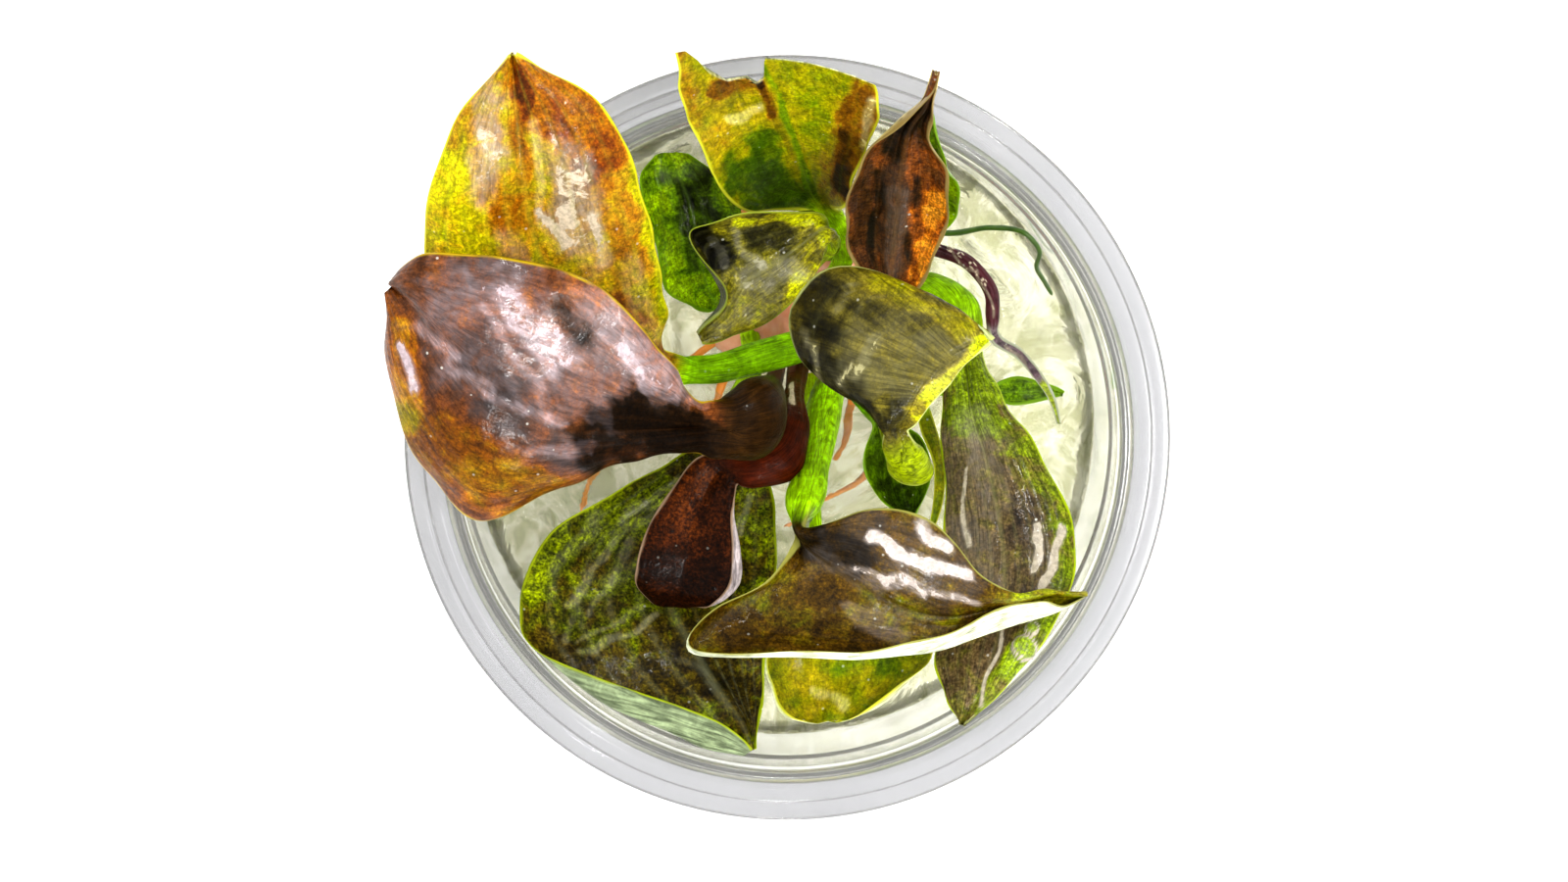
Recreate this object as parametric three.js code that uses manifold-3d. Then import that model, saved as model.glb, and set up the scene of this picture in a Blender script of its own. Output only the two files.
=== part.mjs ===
// An Echinodorus reni plant grown by tissue culture, standing in the clear cup that it was grown in.
// Millimetres, +Z up. The origin is the centre of the cup's flat base.

import * as THREE from 'three';
import { mergeVertices } from 'three/addons/utils/BufferGeometryUtils.js';
import Module from 'manifold-3d';

const wasm = await Module();
wasm.setup();

// Driving dimensions of the cup and of what fills it
const RIM_HEIGHT = 62;
const RIM_RADIUS = 49;
const MOUTH_RADIUS = 42.5;
const BASE_INNER_RADIUS = 41.6;
const WALL = 1.0;
const FLOOR_THICKNESS = 1.2;
const GEL_SURFACE = 17;
const GAP = 0.3;
const ROUND_STEPS = 40;

// Driving dimensions of the plant
const BLADE_THICKNESS = 0.7;
const PETIOLE_FLATNESS = 0.72;
const BLADE_COLUMNS = 6;
const ROOT_SIDES = 6;

// The leaves are drawn as they look from above at rim height: x and y are what an eye over the cup
// sees, and z is the true height. place() slides such a point along its line of sight to that height.
const EYE = new THREE.Vector3(-15, 45, 962);

function place([x, y, z]) {
  const nearness = (EYE.z - z) / (EYE.z - RIM_HEIGHT);
  return new THREE.Vector3(EYE.x + (x - EYE.x) * nearness, EYE.y + (y - EYE.y) * nearness, z);
}

// Turns positions and triangles into a geometry with its normals
function geometryOf(points, triangles) {
  const geometry = new THREE.BufferGeometry();
  const flat = points.flatMap((p) => [p.x, p.y, p.z]);
  geometry.setAttribute('position', new THREE.Float32BufferAttribute(flat, 3));
  geometry.setIndex(triangles);
  geometry.computeVertexNormals();
  return geometry;
}

// A closed geometry as a solid that can be joined and cut
function solidOf(geometry) {
  const bare = geometry.clone();
  bare.deleteAttribute('normal');
  if (bare.hasAttribute('uv')) bare.deleteAttribute('uv');
  const merged = mergeVertices(bare, 1e-4);
  return new wasm.Manifold(new wasm.Mesh({
    numProp: 3,
    vertProperties: new Float32Array(merged.getAttribute('position').array),
    triVerts: new Uint32Array(merged.getIndex().array),
  }));
}

// The largest single body of a solid, as a geometry again
function geometryOfSolid(solid) {
  const bodies = solid.decompose().sort((a, b) => b.volume() - a.volume());
  const mesh = bodies[0].getMesh();
  const geometry = new THREE.BufferGeometry();
  geometry.setAttribute('position', new THREE.Float32BufferAttribute(mesh.vertProperties, 3));
  geometry.setIndex(Array.from(mesh.triVerts));
  geometry.computeVertexNormals();
  return geometry;
}

const plant = new THREE.Group();

function addMesh(name, geometry, color, roughness) {
  const material = new THREE.MeshStandardMaterial({ color, roughness, metalness: 0 });
  const mesh = new THREE.Mesh(geometry, material);
  mesh.name = name;
  plant.add(mesh);
  return mesh;
}

// A leaf is one solid from the foot of its petiole to its tip. Each station holds a left point, a
// middle point and a right point, and across the leaf each half runs from the middle to its edge,
// lifted by its camber.
function leafStations({ petiole, blade, camber = [0, 0] }, grow) {
  const bladeStations = blade.map(([left, middle, right]) => ({
    left: place(left),
    middle: place(middle),
    right: place(right),
    thickness: BLADE_THICKNESS,
    camber,
  }));
  const first = bladeStations[0];
  const bladeSide = new THREE.Vector3().subVectors(first.right, first.left).normalize();
  const centres = petiole.map(([x, y, z]) => place([x, y, z]));
  const path = [...centres, first.middle];
  const petioleStations = centres.map((point, i) => {
    const along = new THREE.Vector3().subVectors(path[i + 1], path[Math.max(i - 1, 0)]).normalize();
    const side = bladeSide.clone().addScaledVector(along, -bladeSide.dot(along)).normalize();
    const width = petiole[i][3];
    const reach = width / 2 + grow;
    const centre = i === 0 ? point.clone().addScaledVector(along, -grow) : point;
    return {
      left: centre.clone().addScaledVector(side, -reach),
      middle: centre,
      right: centre.clone().addScaledVector(side, reach),
      thickness: width * PETIOLE_FLATNESS + 2 * grow,
      camber: [0, 0],
    };
  });
  return [...petioleStations, ...bladeStations];
}

function leafGeometry(leaf, grow = 0, lastRow = Infinity) {
  const stations = leafStations(leaf, grow);
  const middleCurve = new THREE.CatmullRomCurve3(stations.map((station) => station.middle));
  const allRows = stations.length - 1;
  const rows = Math.min(allRows, lastRow);
  const columns = BLADE_COLUMNS;

  const sheet = [];
  const halfThickness = [];
  for (let i = 0; i <= rows; i += 1) {
    const { left, middle, right, thickness, camber } = stations[i];
    halfThickness.push(thickness / 2);
    const along = middleCurve.getTangent(i / allRows);
    const up = new THREE.Vector3().subVectors(right, left).cross(along).normalize();
    const row = [];
    for (let j = 0; j <= columns; j += 1) {
      const v = -Math.cos((Math.PI * j) / columns);
      const lift = camber[v < 0 ? 0 : 1];
      const away = Math.abs(v);
      const point = middle.clone().lerp(v < 0 ? left : right, away);
      row.push(point.addScaledVector(up, lift * 4 * away * (1 - away)));
    }
    sheet.push(row);
  }

  const points = [];
  for (let i = 0; i <= rows; i += 1) {
    const offsets = sheet[i].map((point, j) => {
      const along = new THREE.Vector3().subVectors(sheet[Math.min(i + 1, rows)][j], sheet[Math.max(i - 1, 0)][j]);
      const across = new THREE.Vector3().subVectors(sheet[i][Math.min(j + 1, columns)], sheet[i][Math.max(j - 1, 0)]);
      const normal = across.cross(along).normalize();
      return normal.multiplyScalar(halfThickness[i] * Math.sin((Math.PI * j) / columns));
    });
    sheet[i].forEach((point, j) => points.push(point.clone().add(offsets[j])));
    for (let j = 1; j < columns; j += 1) points.push(sheet[i][j].clone().sub(offsets[j]));
  }

  const ring = 2 * columns;
  const top = (i, j) => i * ring + j;
  const bottom = (i, j) => (j === 0 || j === columns ? top(i, j) : i * ring + columns + j);
  const triangles = [];
  const quad = (a, b, c, d) => {
    if (a !== b && b !== c && a !== c) triangles.push(a, b, c);
    if (a !== c && c !== d && a !== d) triangles.push(a, c, d);
  };
  for (let j = 0; j < columns; j += 1) {
    for (let i = 0; i < rows; i += 1) {
      quad(top(i, j), top(i, j + 1), top(i + 1, j + 1), top(i + 1, j));
      quad(bottom(i, j), bottom(i + 1, j), bottom(i + 1, j + 1), bottom(i, j + 1));
    }
    quad(bottom(0, j), bottom(0, j + 1), top(0, j + 1), top(0, j));
    quad(top(rows, j), top(rows, j + 1), bottom(rows, j + 1), bottom(rows, j));
  }
  return geometryOf(points, triangles);
}

// Leaves. A petiole's points are [x, y, z, width], from the crown outwards. A blade's stations are
// [left, middle, right], from its base to its tip, each as [x, y, z].
const leaves = {
  // The tall leaf at the upper left, on the long bright green petiole
  leaf_upper_left: {
    color: 0x8a7a10,
    petiole: [[5.8, 13.6, 21, 3], [4.4, 12.8, 32, 3.6], [0.8, 11.7, 41, 4.2], [-4.5, 10.3, 46.6, 4], [-9.4, 9, 50.4, 3.4],
      [-13, 8.8, 52.6, 3.4]],
    blade: [
      [[-17.5, 6.6, 54], [-16.8, 9, 55], [-15.8, 11.5, 55]],
      [[-26, 5.5, 58], [-21.5, 11, 60], [-15.4, 15, 60]],
      [[-36.5, 8.5, 63], [-27, 15.5, 66], [-16, 20, 66]],
      [[-43.5, 15.5, 68], [-31, 22, 71], [-17, 26, 71]],
      [[-46.3, 24, 72], [-33, 29, 75], [-18.8, 32, 75]],
      [[-45.2, 33, 77], [-34, 35.5, 79], [-20.8, 38, 79]],
      [[-42.6, 40, 80], [-34.5, 41, 81.5], [-24.5, 43.3, 81.5]],
      [[-39.2, 45, 82.5], [-34.9, 45.7, 83], [-30, 47, 83]],
      [[-35.6, 49.2, 84], [-35.1, 49.4, 84], [-34.5, 49.3, 84]],
    ],
    camber: [1.5, 1.5],
  },
  // The broad purple-brown leaf at the left, highest of all, folded along its midrib
  leaf_broad_left: {
    color: 0x6b3f1c,
    petiole: [[-1, 10.8, 21, 2.8], [-1.6, 8, 36, 3], [-2.4, 5.8, 51, 4.2], [-3.1, 4.2, 64.5, 8], [-4.9, 2.4, 71.5, 10.4],
      [-8, 1.5, 73.5, 8]],
    blade: [
      [[-11.5, -1.7, 74], [-11.5, 1.6, 75.5], [-11.2, 4.9, 75]],
      [[-17, -1.8, 75], [-17.5, 1.2, 78], [-14.5, 9.3, 79]],
      [[-24, -4, 75.5], [-24.5, 0.8, 80.5], [-18.5, 14.3, 82]],
      [[-31, -7.3, 75.5], [-30.5, 0.9, 82.5], [-24, 19.5, 83.5]],
      [[-39.8, -10.2, 74.5], [-35.5, 4, 84.5], [-31, 22.3, 84.5]],
      [[-46, -4.6, 74.5], [-40.5, 7.5, 85.5], [-38, 23.5, 85]],
      [[-50.4, 3.8, 75.5], [-44.3, 12, 85], [-44.5, 23.8, 84.5]],
      [[-51.6, 11.5, 77], [-47, 16, 83], [-48.3, 23, 82.5]],
      [[-50.9, 18.2, 79], [-50.2, 19.4, 79.5], [-50.3, 20.4, 79.5]],
    ],
    camber: [1.5, 1],
  },
  // The dark red tongue under the broad leaf, its edge rolled up
  leaf_dark_tongue: {
    color: 0x38180c,
    petiole: [[2.2, 12.2, 21, 2.6], [1.8, 11, 29, 2.8], [1.2, 8.4, 38, 3], [0.8, 5.2, 49, 3], [0.4, 1, 56, 5], [-1.4, -2.4, 58.4, 7],
      [-5, -3.6, 59, 5.4]],
    blade: [
      [[-6.6, -5.8, 59], [-8.6, -4, 58.6], [-11, -2, 58.6]],
      [[-8, -9, 60], [-11, -8, 57.8], [-14.4, -6.6, 58.4]],
      [[-7.3, -13.6, 60.5], [-12.4, -12.4, 56.4], [-17, -11, 58]],
      [[-8.6, -17.6, 59], [-14, -16.8, 54.6], [-19, -16, 57]],
      [[-11.4, -19.8, 56], [-14.8, -19.6, 53.4], [-18.9, -19.8, 55]],
      [[-13.1, -21.4, 53], [-14.2, -21.3, 53], [-15.4, -21.1, 53]],
    ],
    camber: [-1.2, 0.6],
  },
  // The wide green-brown leaf at the lower left, pressed against the wall
  leaf_lower_left: {
    color: 0x46520a,
    petiole: [[-4.8, 13.2, 21, 2.8], [-4.6, 9, 28, 2.8], [-6.8, 4, 34, 3.4]],
    blade: [
      [[-4, -2.4, 38], [-7.8, -1.4, 39], [-12, -0.6, 40]],
      [[-2.1, -6, 42], [-11.2, -7.6, 43], [-21.5, -6.4, 45]],
      [[-1.5, -11, 45], [-14.3, -14, 46.5], [-30.5, -12, 49]],
      [[-1.5, -17, 47.5], [-16, -20.5, 49.5], [-34, -20.2, 54]],
      [[-2.2, -24, 50], [-15.8, -26.4, 52.5], [-32.8, -25.6, 58.5]],
      [[-3, -30, 53], [-12.6, -32, 55.5], [-26, -30.4, 60.5]],
      [[-3.4, -35.4, 56], [-8, -36.4, 58], [-14, -33.6, 62]],
      [[-3.7, -39.4, 60], [-4.2, -39.8, 60], [-4.9, -39.4, 60.5]],
    ],
    camber: [-1, -1.6],
  },
  // The folded leaf across the front, boat-shaped, its point out over the rim
  leaf_front_folded: {
    color: 0x5a3c10,
    petiole: [[6.6, 9.6, 21, 3.4], [5.2, 6.6, 34, 4], [4.1, 1.5, 46, 4.2], [3.2, -4, 56, 4], [2.2, -9, 63.5, 3.6]],
    blade: [
      [[1.9, -11.4, 67], [1.4, -12.5, 66.6], [0.5, -13.6, 67]],
      [[5, -10.5, 70], [3.4, -14.6, 68], [-3, -18.2, 69.5]],
      [[9, -9.3, 72], [5.6, -16, 68.6], [-9.6, -21.8, 71.5]],
      [[13, -8.8, 73], [8.6, -17.8, 69], [-13.4, -27.4, 73.5]],
      [[17.6, -10, 73], [12, -20, 69], [-2, -27.7, 75]],
      [[21.4, -13.2, 72], [16, -21.7, 68.6], [8, -27.8, 75]],
      [[24, -17.8, 70], [20.5, -22.5, 67.8], [16.5, -25.8, 73]],
      [[28.8, -19.6, 68], [26.5, -21.6, 66.6], [24.4, -22.6, 70]],
      [[33.6, -19.4, 66.5], [33, -20.4, 65.6], [32.2, -21, 67]],
      [[38, -19.6, 65.4], [38.3, -20, 65.2], [38.1, -20.4, 65.4]],
    ],
    camber: [1.2, -2.2],
  },
  // The long grey-brown leaf at the right, its tip lying on the rim
  leaf_right: {
    color: 0x5c5a30,
    petiole: [[9.4, 17, 21, 3.2], [13, 18.6, 31, 4], [18, 19.4, 39, 5], [22, 16.6, 44, 5]],
    blade: [
      [[24.9, 10.6, 47], [22.6, 10.4, 47], [20, 9.6, 47]],
      [[27.4, 5.4, 51], [23.4, 4, 51.4], [19.6, 3, 50.5]],
      [[31.6, -0.6, 54], [25.4, -3, 55.4], [19.9, -5, 53.5]],
      [[35, -7, 55.5], [26.8, -9.6, 57.8], [20, -12, 56]],
      [[36.8, -13.6, 57], [27.6, -16.6, 59.6], [19.4, -19, 58]],
      [[35.9, -19.4, 59.5], [27.4, -22.8, 61.6], [18.8, -25.4, 60]],
      [[33, -25.4, 63.5], [26, -28.6, 64], [19, -30.2, 62.4]],
      [[28.6, -31.2, 65], [24.4, -33, 65.4], [20.2, -33.2, 64.4]],
      [[22.9, -36.3, 65.2], [22.2, -36.6, 65.2], [21.6, -36.1, 65.2]],
    ],
    camber: [1, 0.8],
  },
  // The high olive leaf in the centre, hung from the bend of its petiole
  leaf_centre_high: {
    color: 0x6a6a1c,
    petiole: [[9.6, 13, 21, 2.8], [10.8, 9, 38, 3.2], [12.8, 3, 56, 3.4], [15.2, -3, 69, 4.6], [15.9, -4.6, 74.5, 5.4],
      [15.2, -2.4, 78.4, 4.6]],
    blade: [
      [[12.8, 1.2, 79.4], [14, 0.8, 80], [15.1, 0.4, 79.4]],
      [[9.3, 5.2, 78], [15.3, 3.4, 82], [16.8, 2.4, 80.6]],
      [[4.5, 7.6, 76], [16.4, 5.4, 83.4], [18.3, 4.3, 81.8]],
      [[0.9, 11, 74.5], [17.6, 7.2, 84.4], [19.7, 6, 82.8]],
      [[0.5, 16.6, 74], [18.9, 8.8, 85], [20.9, 7.3, 83.4]],
      [[4.6, 21.4, 75], [20.3, 10.1, 85.2], [22.1, 8.7, 83.8]],
      [[11.6, 21.6, 78], [22, 11.2, 85], [23.4, 10, 84]],
      [[19.6, 18, 81.6], [23.8, 12.2, 84.6], [24.7, 11.2, 84]],
      [[25.3, 13.1, 84], [25.6, 12.7, 84], [25.8, 12.2, 83.8]],
    ],
    camber: [2, 0],
  },
  // The small cupped dark green leaf under the centre leaf
  leaf_small_cupped: {
    color: 0x1f3a08,
    petiole: [[9.2, 6.8, 19.6, 1.6], [8.8, 5.2, 28, 1.6], [10, 3.8, 34, 1.6]],
    blade: [
      [[12.6, 2.6, 37], [11.6, 2.6, 36.8], [10.6, 2.5, 37]],
      [[17.2, 0.6, 40], [13.2, -0.8, 35.4], [9.8, -1, 40]],
      [[18.4, -3.2, 41], [14.1, -4, 34.6], [9.9, -4.8, 41]],
      [[17.6, -7.2, 40], [14.9, -7.6, 35], [11.8, -8, 40]],
      [[16.6, -9.6, 37.6], [15.7, -9.8, 37], [14.8, -9.6, 37.6]],
    ],
    camber: [-0.8, -0.8],
  },
  // The narrow young leaf beside it
  leaf_young_strip: {
    color: 0x8a9c08,
    petiole: [[11.8, 10.4, 20.4, 1.6], [14.6, 8.2, 31, 1.6], [17, 4.6, 37, 1.6]],
    blade: [
      [[18.9, 1.6, 40], [17.9, 1.4, 40.2], [16.9, 1.2, 40]],
      [[20.1, -4, 44], [19.3, -4, 44.4], [18.7, -4, 44]],
      [[19.7, -8.4, 45], [18.9, -8.6, 45.4], [18.5, -8.6, 45]],
      [[18.2, -12.8, 45.6], [17.9, -12.9, 45.6], [17.6, -12.9, 45.6]],
    ],
  },
  // The torn leaf at the top, folded on its bright midrib
  leaf_torn: {
    color: 0x7c8408,
    petiole: [[4.9, 19.4, 21, 2.6], [7.2, 24, 34, 2.8], [5.8, 28.6, 44, 2.8]],
    blade: [
      [[0.4, 29.2, 49], [3.4, 30.6, 49.4], [5.8, 29.4, 50]],
      [[-5.8, 29.4, 56], [2.4, 33, 54.5], [7.3, 29.6, 56.5]],
      [[-9.4, 33.6, 65], [1.1, 36.5, 61], [8.4, 33, 62.4]],
      [[-11.9, 38.8, 73], [-0.3, 40, 68], [10.2, 37.4, 69.4]],
      [[-13.6, 43.4, 79], [-1.6, 43.8, 74.5], [11.7, 41.4, 75.4]],
      [[-14.3, 49.2, 85], [-3.1, 48.4, 80.5], [11.1, 45, 80.4]],
    ],
    camber: [-1.2, -1],
  },
  // The curled leaf in the middle
  leaf_middle_curled: {
    color: 0x4a4c18,
    petiole: [[1, 20.2, 21, 2.6], [3.8, 23.4, 38, 2.6], [5.6, 25.2, 52, 2.6]],
    blade: [
      [[4.6, 25, 57.4], [4.4, 26.6, 57.6], [4.2, 28.2, 59]],
      [[4, 22, 58.6], [1.4, 23.4, 58], [-1.4, 29, 62.6]],
      [[1.2, 18.4, 58], [-2, 20.8, 58], [-8.6, 29.2, 64]],
      [[-3, 15.6, 57.4], [-5, 18.4, 58], [-12, 26.4, 64]],
      [[-7.4, 13.6, 57], [-8.2, 15.8, 57.6], [-8.8, 18.6, 60]],
      [[-11, 12.9, 57], [-11.3, 13.2, 57], [-11.5, 13.8, 57.4]],
    ],
    camber: [0.6, -1.4],
  },
  // The dark pointed leaf at the upper right, pleated lengthways
  leaf_pointed: {
    color: 0x5a2e12,
    petiole: [[8.6, 21, 21, 2.6], [10.6, 19.6, 38, 3], [12.6, 18.2, 52, 3.2]],
    blade: [
      [[10.6, 18.4, 56], [13, 17.8, 57], [15.6, 17.6, 56.6]],
      [[7.7, 24, 62], [13.4, 23.6, 62], [18.8, 23, 62.6]],
      [[7.5, 29.4, 68], [13.9, 29, 67.4], [20.4, 28.6, 68.6]],
      [[9.3, 35, 74], [14.5, 34.6, 73], [20.2, 34, 74]],
      [[12.8, 39.2, 79], [15.4, 39, 78], [18.2, 38.8, 78.6]],
      [[16.9, 42.6, 82.6], [17.6, 42.5, 82.2], [19, 42, 82.4]],
      [[18.5, 46, 85], [18.9, 46.2, 85], [19.3, 46, 85]],
    ],
    camber: [-1.2, -1],
  },
  // The green leaf behind the pointed one
  leaf_behind_pointed: {
    color: 0x3e6a08,
    petiole: [[4.8, 23.6, 20.4, 2.2], [9, 24.6, 30, 2.2], [13, 25, 38, 2.2]],
    blade: [
      [[14.8, 26.8, 43], [16, 25.6, 43], [17.2, 24.4, 43]],
      [[13.6, 31, 49.4], [17.2, 29.8, 48.6], [21.4, 28.4, 50]],
      [[14.6, 35.2, 57.4], [17.9, 34.2, 56.4], [21.5, 32.7, 58]],
      [[16.4, 39.2, 65.4], [18, 38.4, 65], [19.5, 37.3, 65.6]],
      [[17.8, 41.4, 67], [18.2, 41.4, 67], [18.6, 41.2, 67]],
    ],
    camber: [-0.5, -0.5],
  },
  // The deep green leaf at the upper left, low in the cup
  leaf_deep_green: {
    color: 0x2a5604,
    petiole: [[-4.4, 17.2, 20.6, 2.6], [-6, 17.4, 28, 2.6], [-7.6, 17.8, 33.6, 2.8]],
    blade: [
      [[-10.4, 16.6, 37.6], [-9, 18, 36.6], [-7.8, 19, 37]],
      [[-14.8, 18.8, 44], [-10.8, 22, 39.6], [-6.8, 22.6, 42]],
      [[-16.9, 25.2, 48.6], [-12.2, 26.4, 43], [-6.2, 27, 47]],
      [[-18.3, 31, 51], [-13.4, 31, 45.4], [-6.8, 31.2, 50]],
      [[-18.5, 34.6, 51], [-14.6, 34.4, 47.4], [-9.8, 34.4, 50.6]],
      [[-16.4, 36.1, 49.6], [-15.2, 36.4, 49.4], [-13.8, 36.4, 49.8]],
    ],
    camber: [-1.4, -1.2],
  },
  // The thin purple petiole that arches over to a narrow twisted blade
  leaf_narrow_purple: {
    color: 0x3c1e24,
    petiole: [[12.4, 21.4, 20.4, 1.7], [15, 23.4, 32, 1.9], [19.5, 24, 42, 1.9], [23.4, 22.2, 46, 1.9], [25.9, 18.8, 47, 1.9],
      [26.1, 15.6, 45.6, 1.9]],
    blade: [
      [[26.9, 13.9, 43.8], [26.2, 13.4, 43.6], [25.7, 12.9, 43.8]],
      [[30, 11.4, 39], [29.5, 10.9, 38.8], [29, 10.4, 39]],
      [[32.9, 7.7, 34], [32.3, 7.5, 33.8], [31.6, 7.5, 34]],
      [[34.3, 4.8, 30], [33.8, 4.9, 29.8], [33.3, 5, 30]],
      [[34.9, 2, 27], [34.6, 2, 27], [34.3, 2, 27]],
    ],
  },
  // The small leaf lying just above the gel at the right
  leaf_on_gel: {
    color: 0x3a5a08,
    petiole: [[12, 6.6, 19, 1.5], [17, 6.4, 20.6, 1.5], [22, 6.2, 21.6, 1.6]],
    blade: [
      [[26, 6.9, 22.2], [26, 6, 22.2], [26, 5.2, 22.2]],
      [[29.8, 8, 22.8], [29.4, 6.1, 22.6], [28.6, 4.2, 22.8]],
      [[33.4, 7.1, 22.8], [32.6, 6.1, 22.6], [31.8, 4.9, 22.8]],
      [[35.3, 6, 22.4], [35.1, 5.7, 22.4], [34.9, 5.4, 22.4]],
    ],
    camber: [-0.4, -0.4],
  },
  // The low yellow-green leaf at the front
  leaf_front_low: {
    color: 0x8c9a10,
    petiole: [[3.2, 8, 19.4, 2.4], [3.2, 1, 26, 2.4], [3, -7, 31, 2.4], [3.2, -12, 34, 2.4]],
    blade: [
      [[4.8, -15.6, 36], [3.6, -15.6, 35.8], [2.2, -15.6, 36]],
      [[10.4, -19.6, 40], [4.2, -20, 38], [-0.6, -20, 39]],
      [[16.8, -24.6, 44], [4.9, -26, 40], [-2.8, -26, 42]],
      [[14.6, -30.3, 46], [5.3, -31, 42], [-2.7, -31, 44]],
      [[9.6, -33.5, 46], [5, -34.2, 44], [-0.9, -34.3, 45]],
      [[6.3, -35.4, 45.6], [4.7, -35.8, 45.2], [3, -35.7, 45.4]],
    ],
    camber: [-1, -1],
  },
};

// The torn leaf lost a bite out of its upper left edge: the cut is drawn at the height of its top
const tear = {
  height: 82,
  outline: [[-12.4, 52], [-12.6, 49.2], [-11, 47.6], [-9.4, 45.4], [-7.5, 44.6], [-5.6, 45.4], [-4.8, 44.6],
    [-3.8, 45.6], [-3.5, 47.4], [-2.9, 52]],
};

function tearSolid() {
  const corners = tear.outline.map(([x, y]) => place([x, y, tear.height]));
  const shape = new THREE.Shape(corners.map((p) => new THREE.Vector2(p.x, p.y)));
  const prism = new THREE.ExtrudeGeometry(shape, { depth: 2 * BLADE_THICKNESS + 30, bevelEnabled: false });
  prism.translate(0, 0, tear.height - 20);
  return solidOf(prism);
}

// A root is a tapering tube along a smooth curve of [x, y, z] points as seen from above
function rootGeometry({ path, width, tip = width * 0.6 }, grow = 0) {
  const curve = new THREE.CatmullRomCurve3(path.map(place));
  const rows = path.length + 2;
  const frames = curve.computeFrenetFrames(rows, false);
  const centreAt = (i) => {
    const overrun = i === 0 ? -grow : Number(i === rows) * grow;
    return curve.getPointAt(i / rows).addScaledVector(frames.tangents[i], overrun);
  };
  const points = [];
  for (let i = 0; i <= rows; i += 1) {
    const centre = centreAt(i);
    const radius = THREE.MathUtils.lerp(width, tip, i / rows) / 2 + grow;
    for (let k = 0; k < ROOT_SIDES; k += 1) {
      const angle = (2 * Math.PI * k) / ROOT_SIDES;
      const outward = frames.normals[i].clone().multiplyScalar(Math.cos(angle));
      outward.addScaledVector(frames.binormals[i], Math.sin(angle));
      points.push(centre.clone().addScaledVector(outward, radius));
    }
  }
  const foot = points.push(centreAt(0)) - 1;
  const end = points.push(centreAt(rows)) - 1;
  const triangles = [];
  for (let k = 0; k < ROOT_SIDES; k += 1) {
    const next = (k + 1) % ROOT_SIDES;
    for (let i = 0; i < rows; i += 1) {
      const a = i * ROOT_SIDES + k;
      const b = i * ROOT_SIDES + next;
      triangles.push(a, b, b + ROOT_SIDES, a, b + ROOT_SIDES, a + ROOT_SIDES);
    }
    triangles.push(foot, next, k);
    triangles.push(end, rows * ROOT_SIDES + k, rows * ROOT_SIDES + next);
  }
  return geometryOf(points, triangles);
}

const rootColor = 0xd07a34;
const roots = {
  root_front: { width: 1.5, path: [[10.6, 6.4, 17.6], [12.4, 0.6, 16.6], [9.6, -4.4, 15], [4.6, -8, 14], [-0.6, -11, 13]] },
  root_centre: { width: 1.3, path: [[8.6, 7.6, 17.6], [8, 3.6, 16], [7, 0, 14], [6, -3, 12]] },
  root_left: { width: 1.3, path: [[-6.6, 10.4, 18], [-8.6, 6.6, 16.4], [-9.6, 2, 14.6], [-10.4, -3, 12.6]] },
  root_far_left: { width: 1.1, path: [[-8.6, 13, 18], [-15, 8, 16], [-21, 0, 14.6], [-25, -5, 13.6], [-26.4, -9, 13]] },
  root_back: { width: 1.2, path: [[-2.4, 23.6, 17.6], [-5, 28, 15.4], [-8, 32, 13.6], [-13, 34, 12.6]] },
  root_thread: {
    width: 0.9,
    tip: 0.6,
    color: 0x35520c,
    path: [[8.6, 26.2, 19], [14, 27, 20], [20.8, 26.3, 22.5], [26, 27, 26], [30.6, 26, 29], [32, 24.2, 28], [31.7, 22, 25],
      [32.8, 20, 22], [33.7, 18.4, 19.6]],
  },
};

// The crown is a clump of short rhizomes and callus, joined in one lump, with a socket round the
// foot of each petiole
const crownLumps = [
  { centre: [2.2, 15, 18.6], radii: [7.4, 6.8, 5.2] },
  { centre: [-5.4, 13, 17.8], radii: [4.6, 3.6, 3.8] },
  { centre: [9, 10.4, 17.8], radii: [5, 5, 4] },
  { centre: [6.6, 20.8, 18], radii: [6, 4.8, 4.6] },
  { centre: [-2.2, 18.6, 18], radii: [5, 4.6, 4.2] },
];
const LUMP_STEPS = 9;

function crownSolid(grow = 0) {
  const lumps = crownLumps.map(({ centre, radii }) => {
    const ball = new THREE.SphereGeometry(1, LUMP_STEPS, LUMP_STEPS - 3);
    ball.rotateX(Math.PI / 2);
    ball.scale(...radii.map((radius) => radius + grow));
    ball.translate(...place(centre));
    return solidOf(ball);
  });
  return lumps.reduce((joined, lump) => joined.add(lump));
}

const FOOT_ROWS = 1;
let crown = crownSolid();
Object.values(leaves).forEach((leaf) => {
  crown = crown.subtract(solidOf(leafGeometry(leaf, GAP, FOOT_ROWS)));
});
Object.values(roots).forEach((root) => {
  crown = crown.subtract(solidOf(rootGeometry(root, GAP)));
});
addMesh('crown', geometryOfSolid(crown), 0xe8a888, 0.45);

Object.entries(leaves).forEach(([name, leaf]) => {
  let geometry = leafGeometry(leaf);
  if (name === 'leaf_torn') geometry = geometryOfSolid(solidOf(geometry).subtract(tearSolid()));
  addMesh(name, geometry, leaf.color, 0.25);
});
Object.entries(roots).forEach(([name, root]) => {
  addMesh(name, rootGeometry(root), root.color ?? rootColor, 0.4);
});

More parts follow.
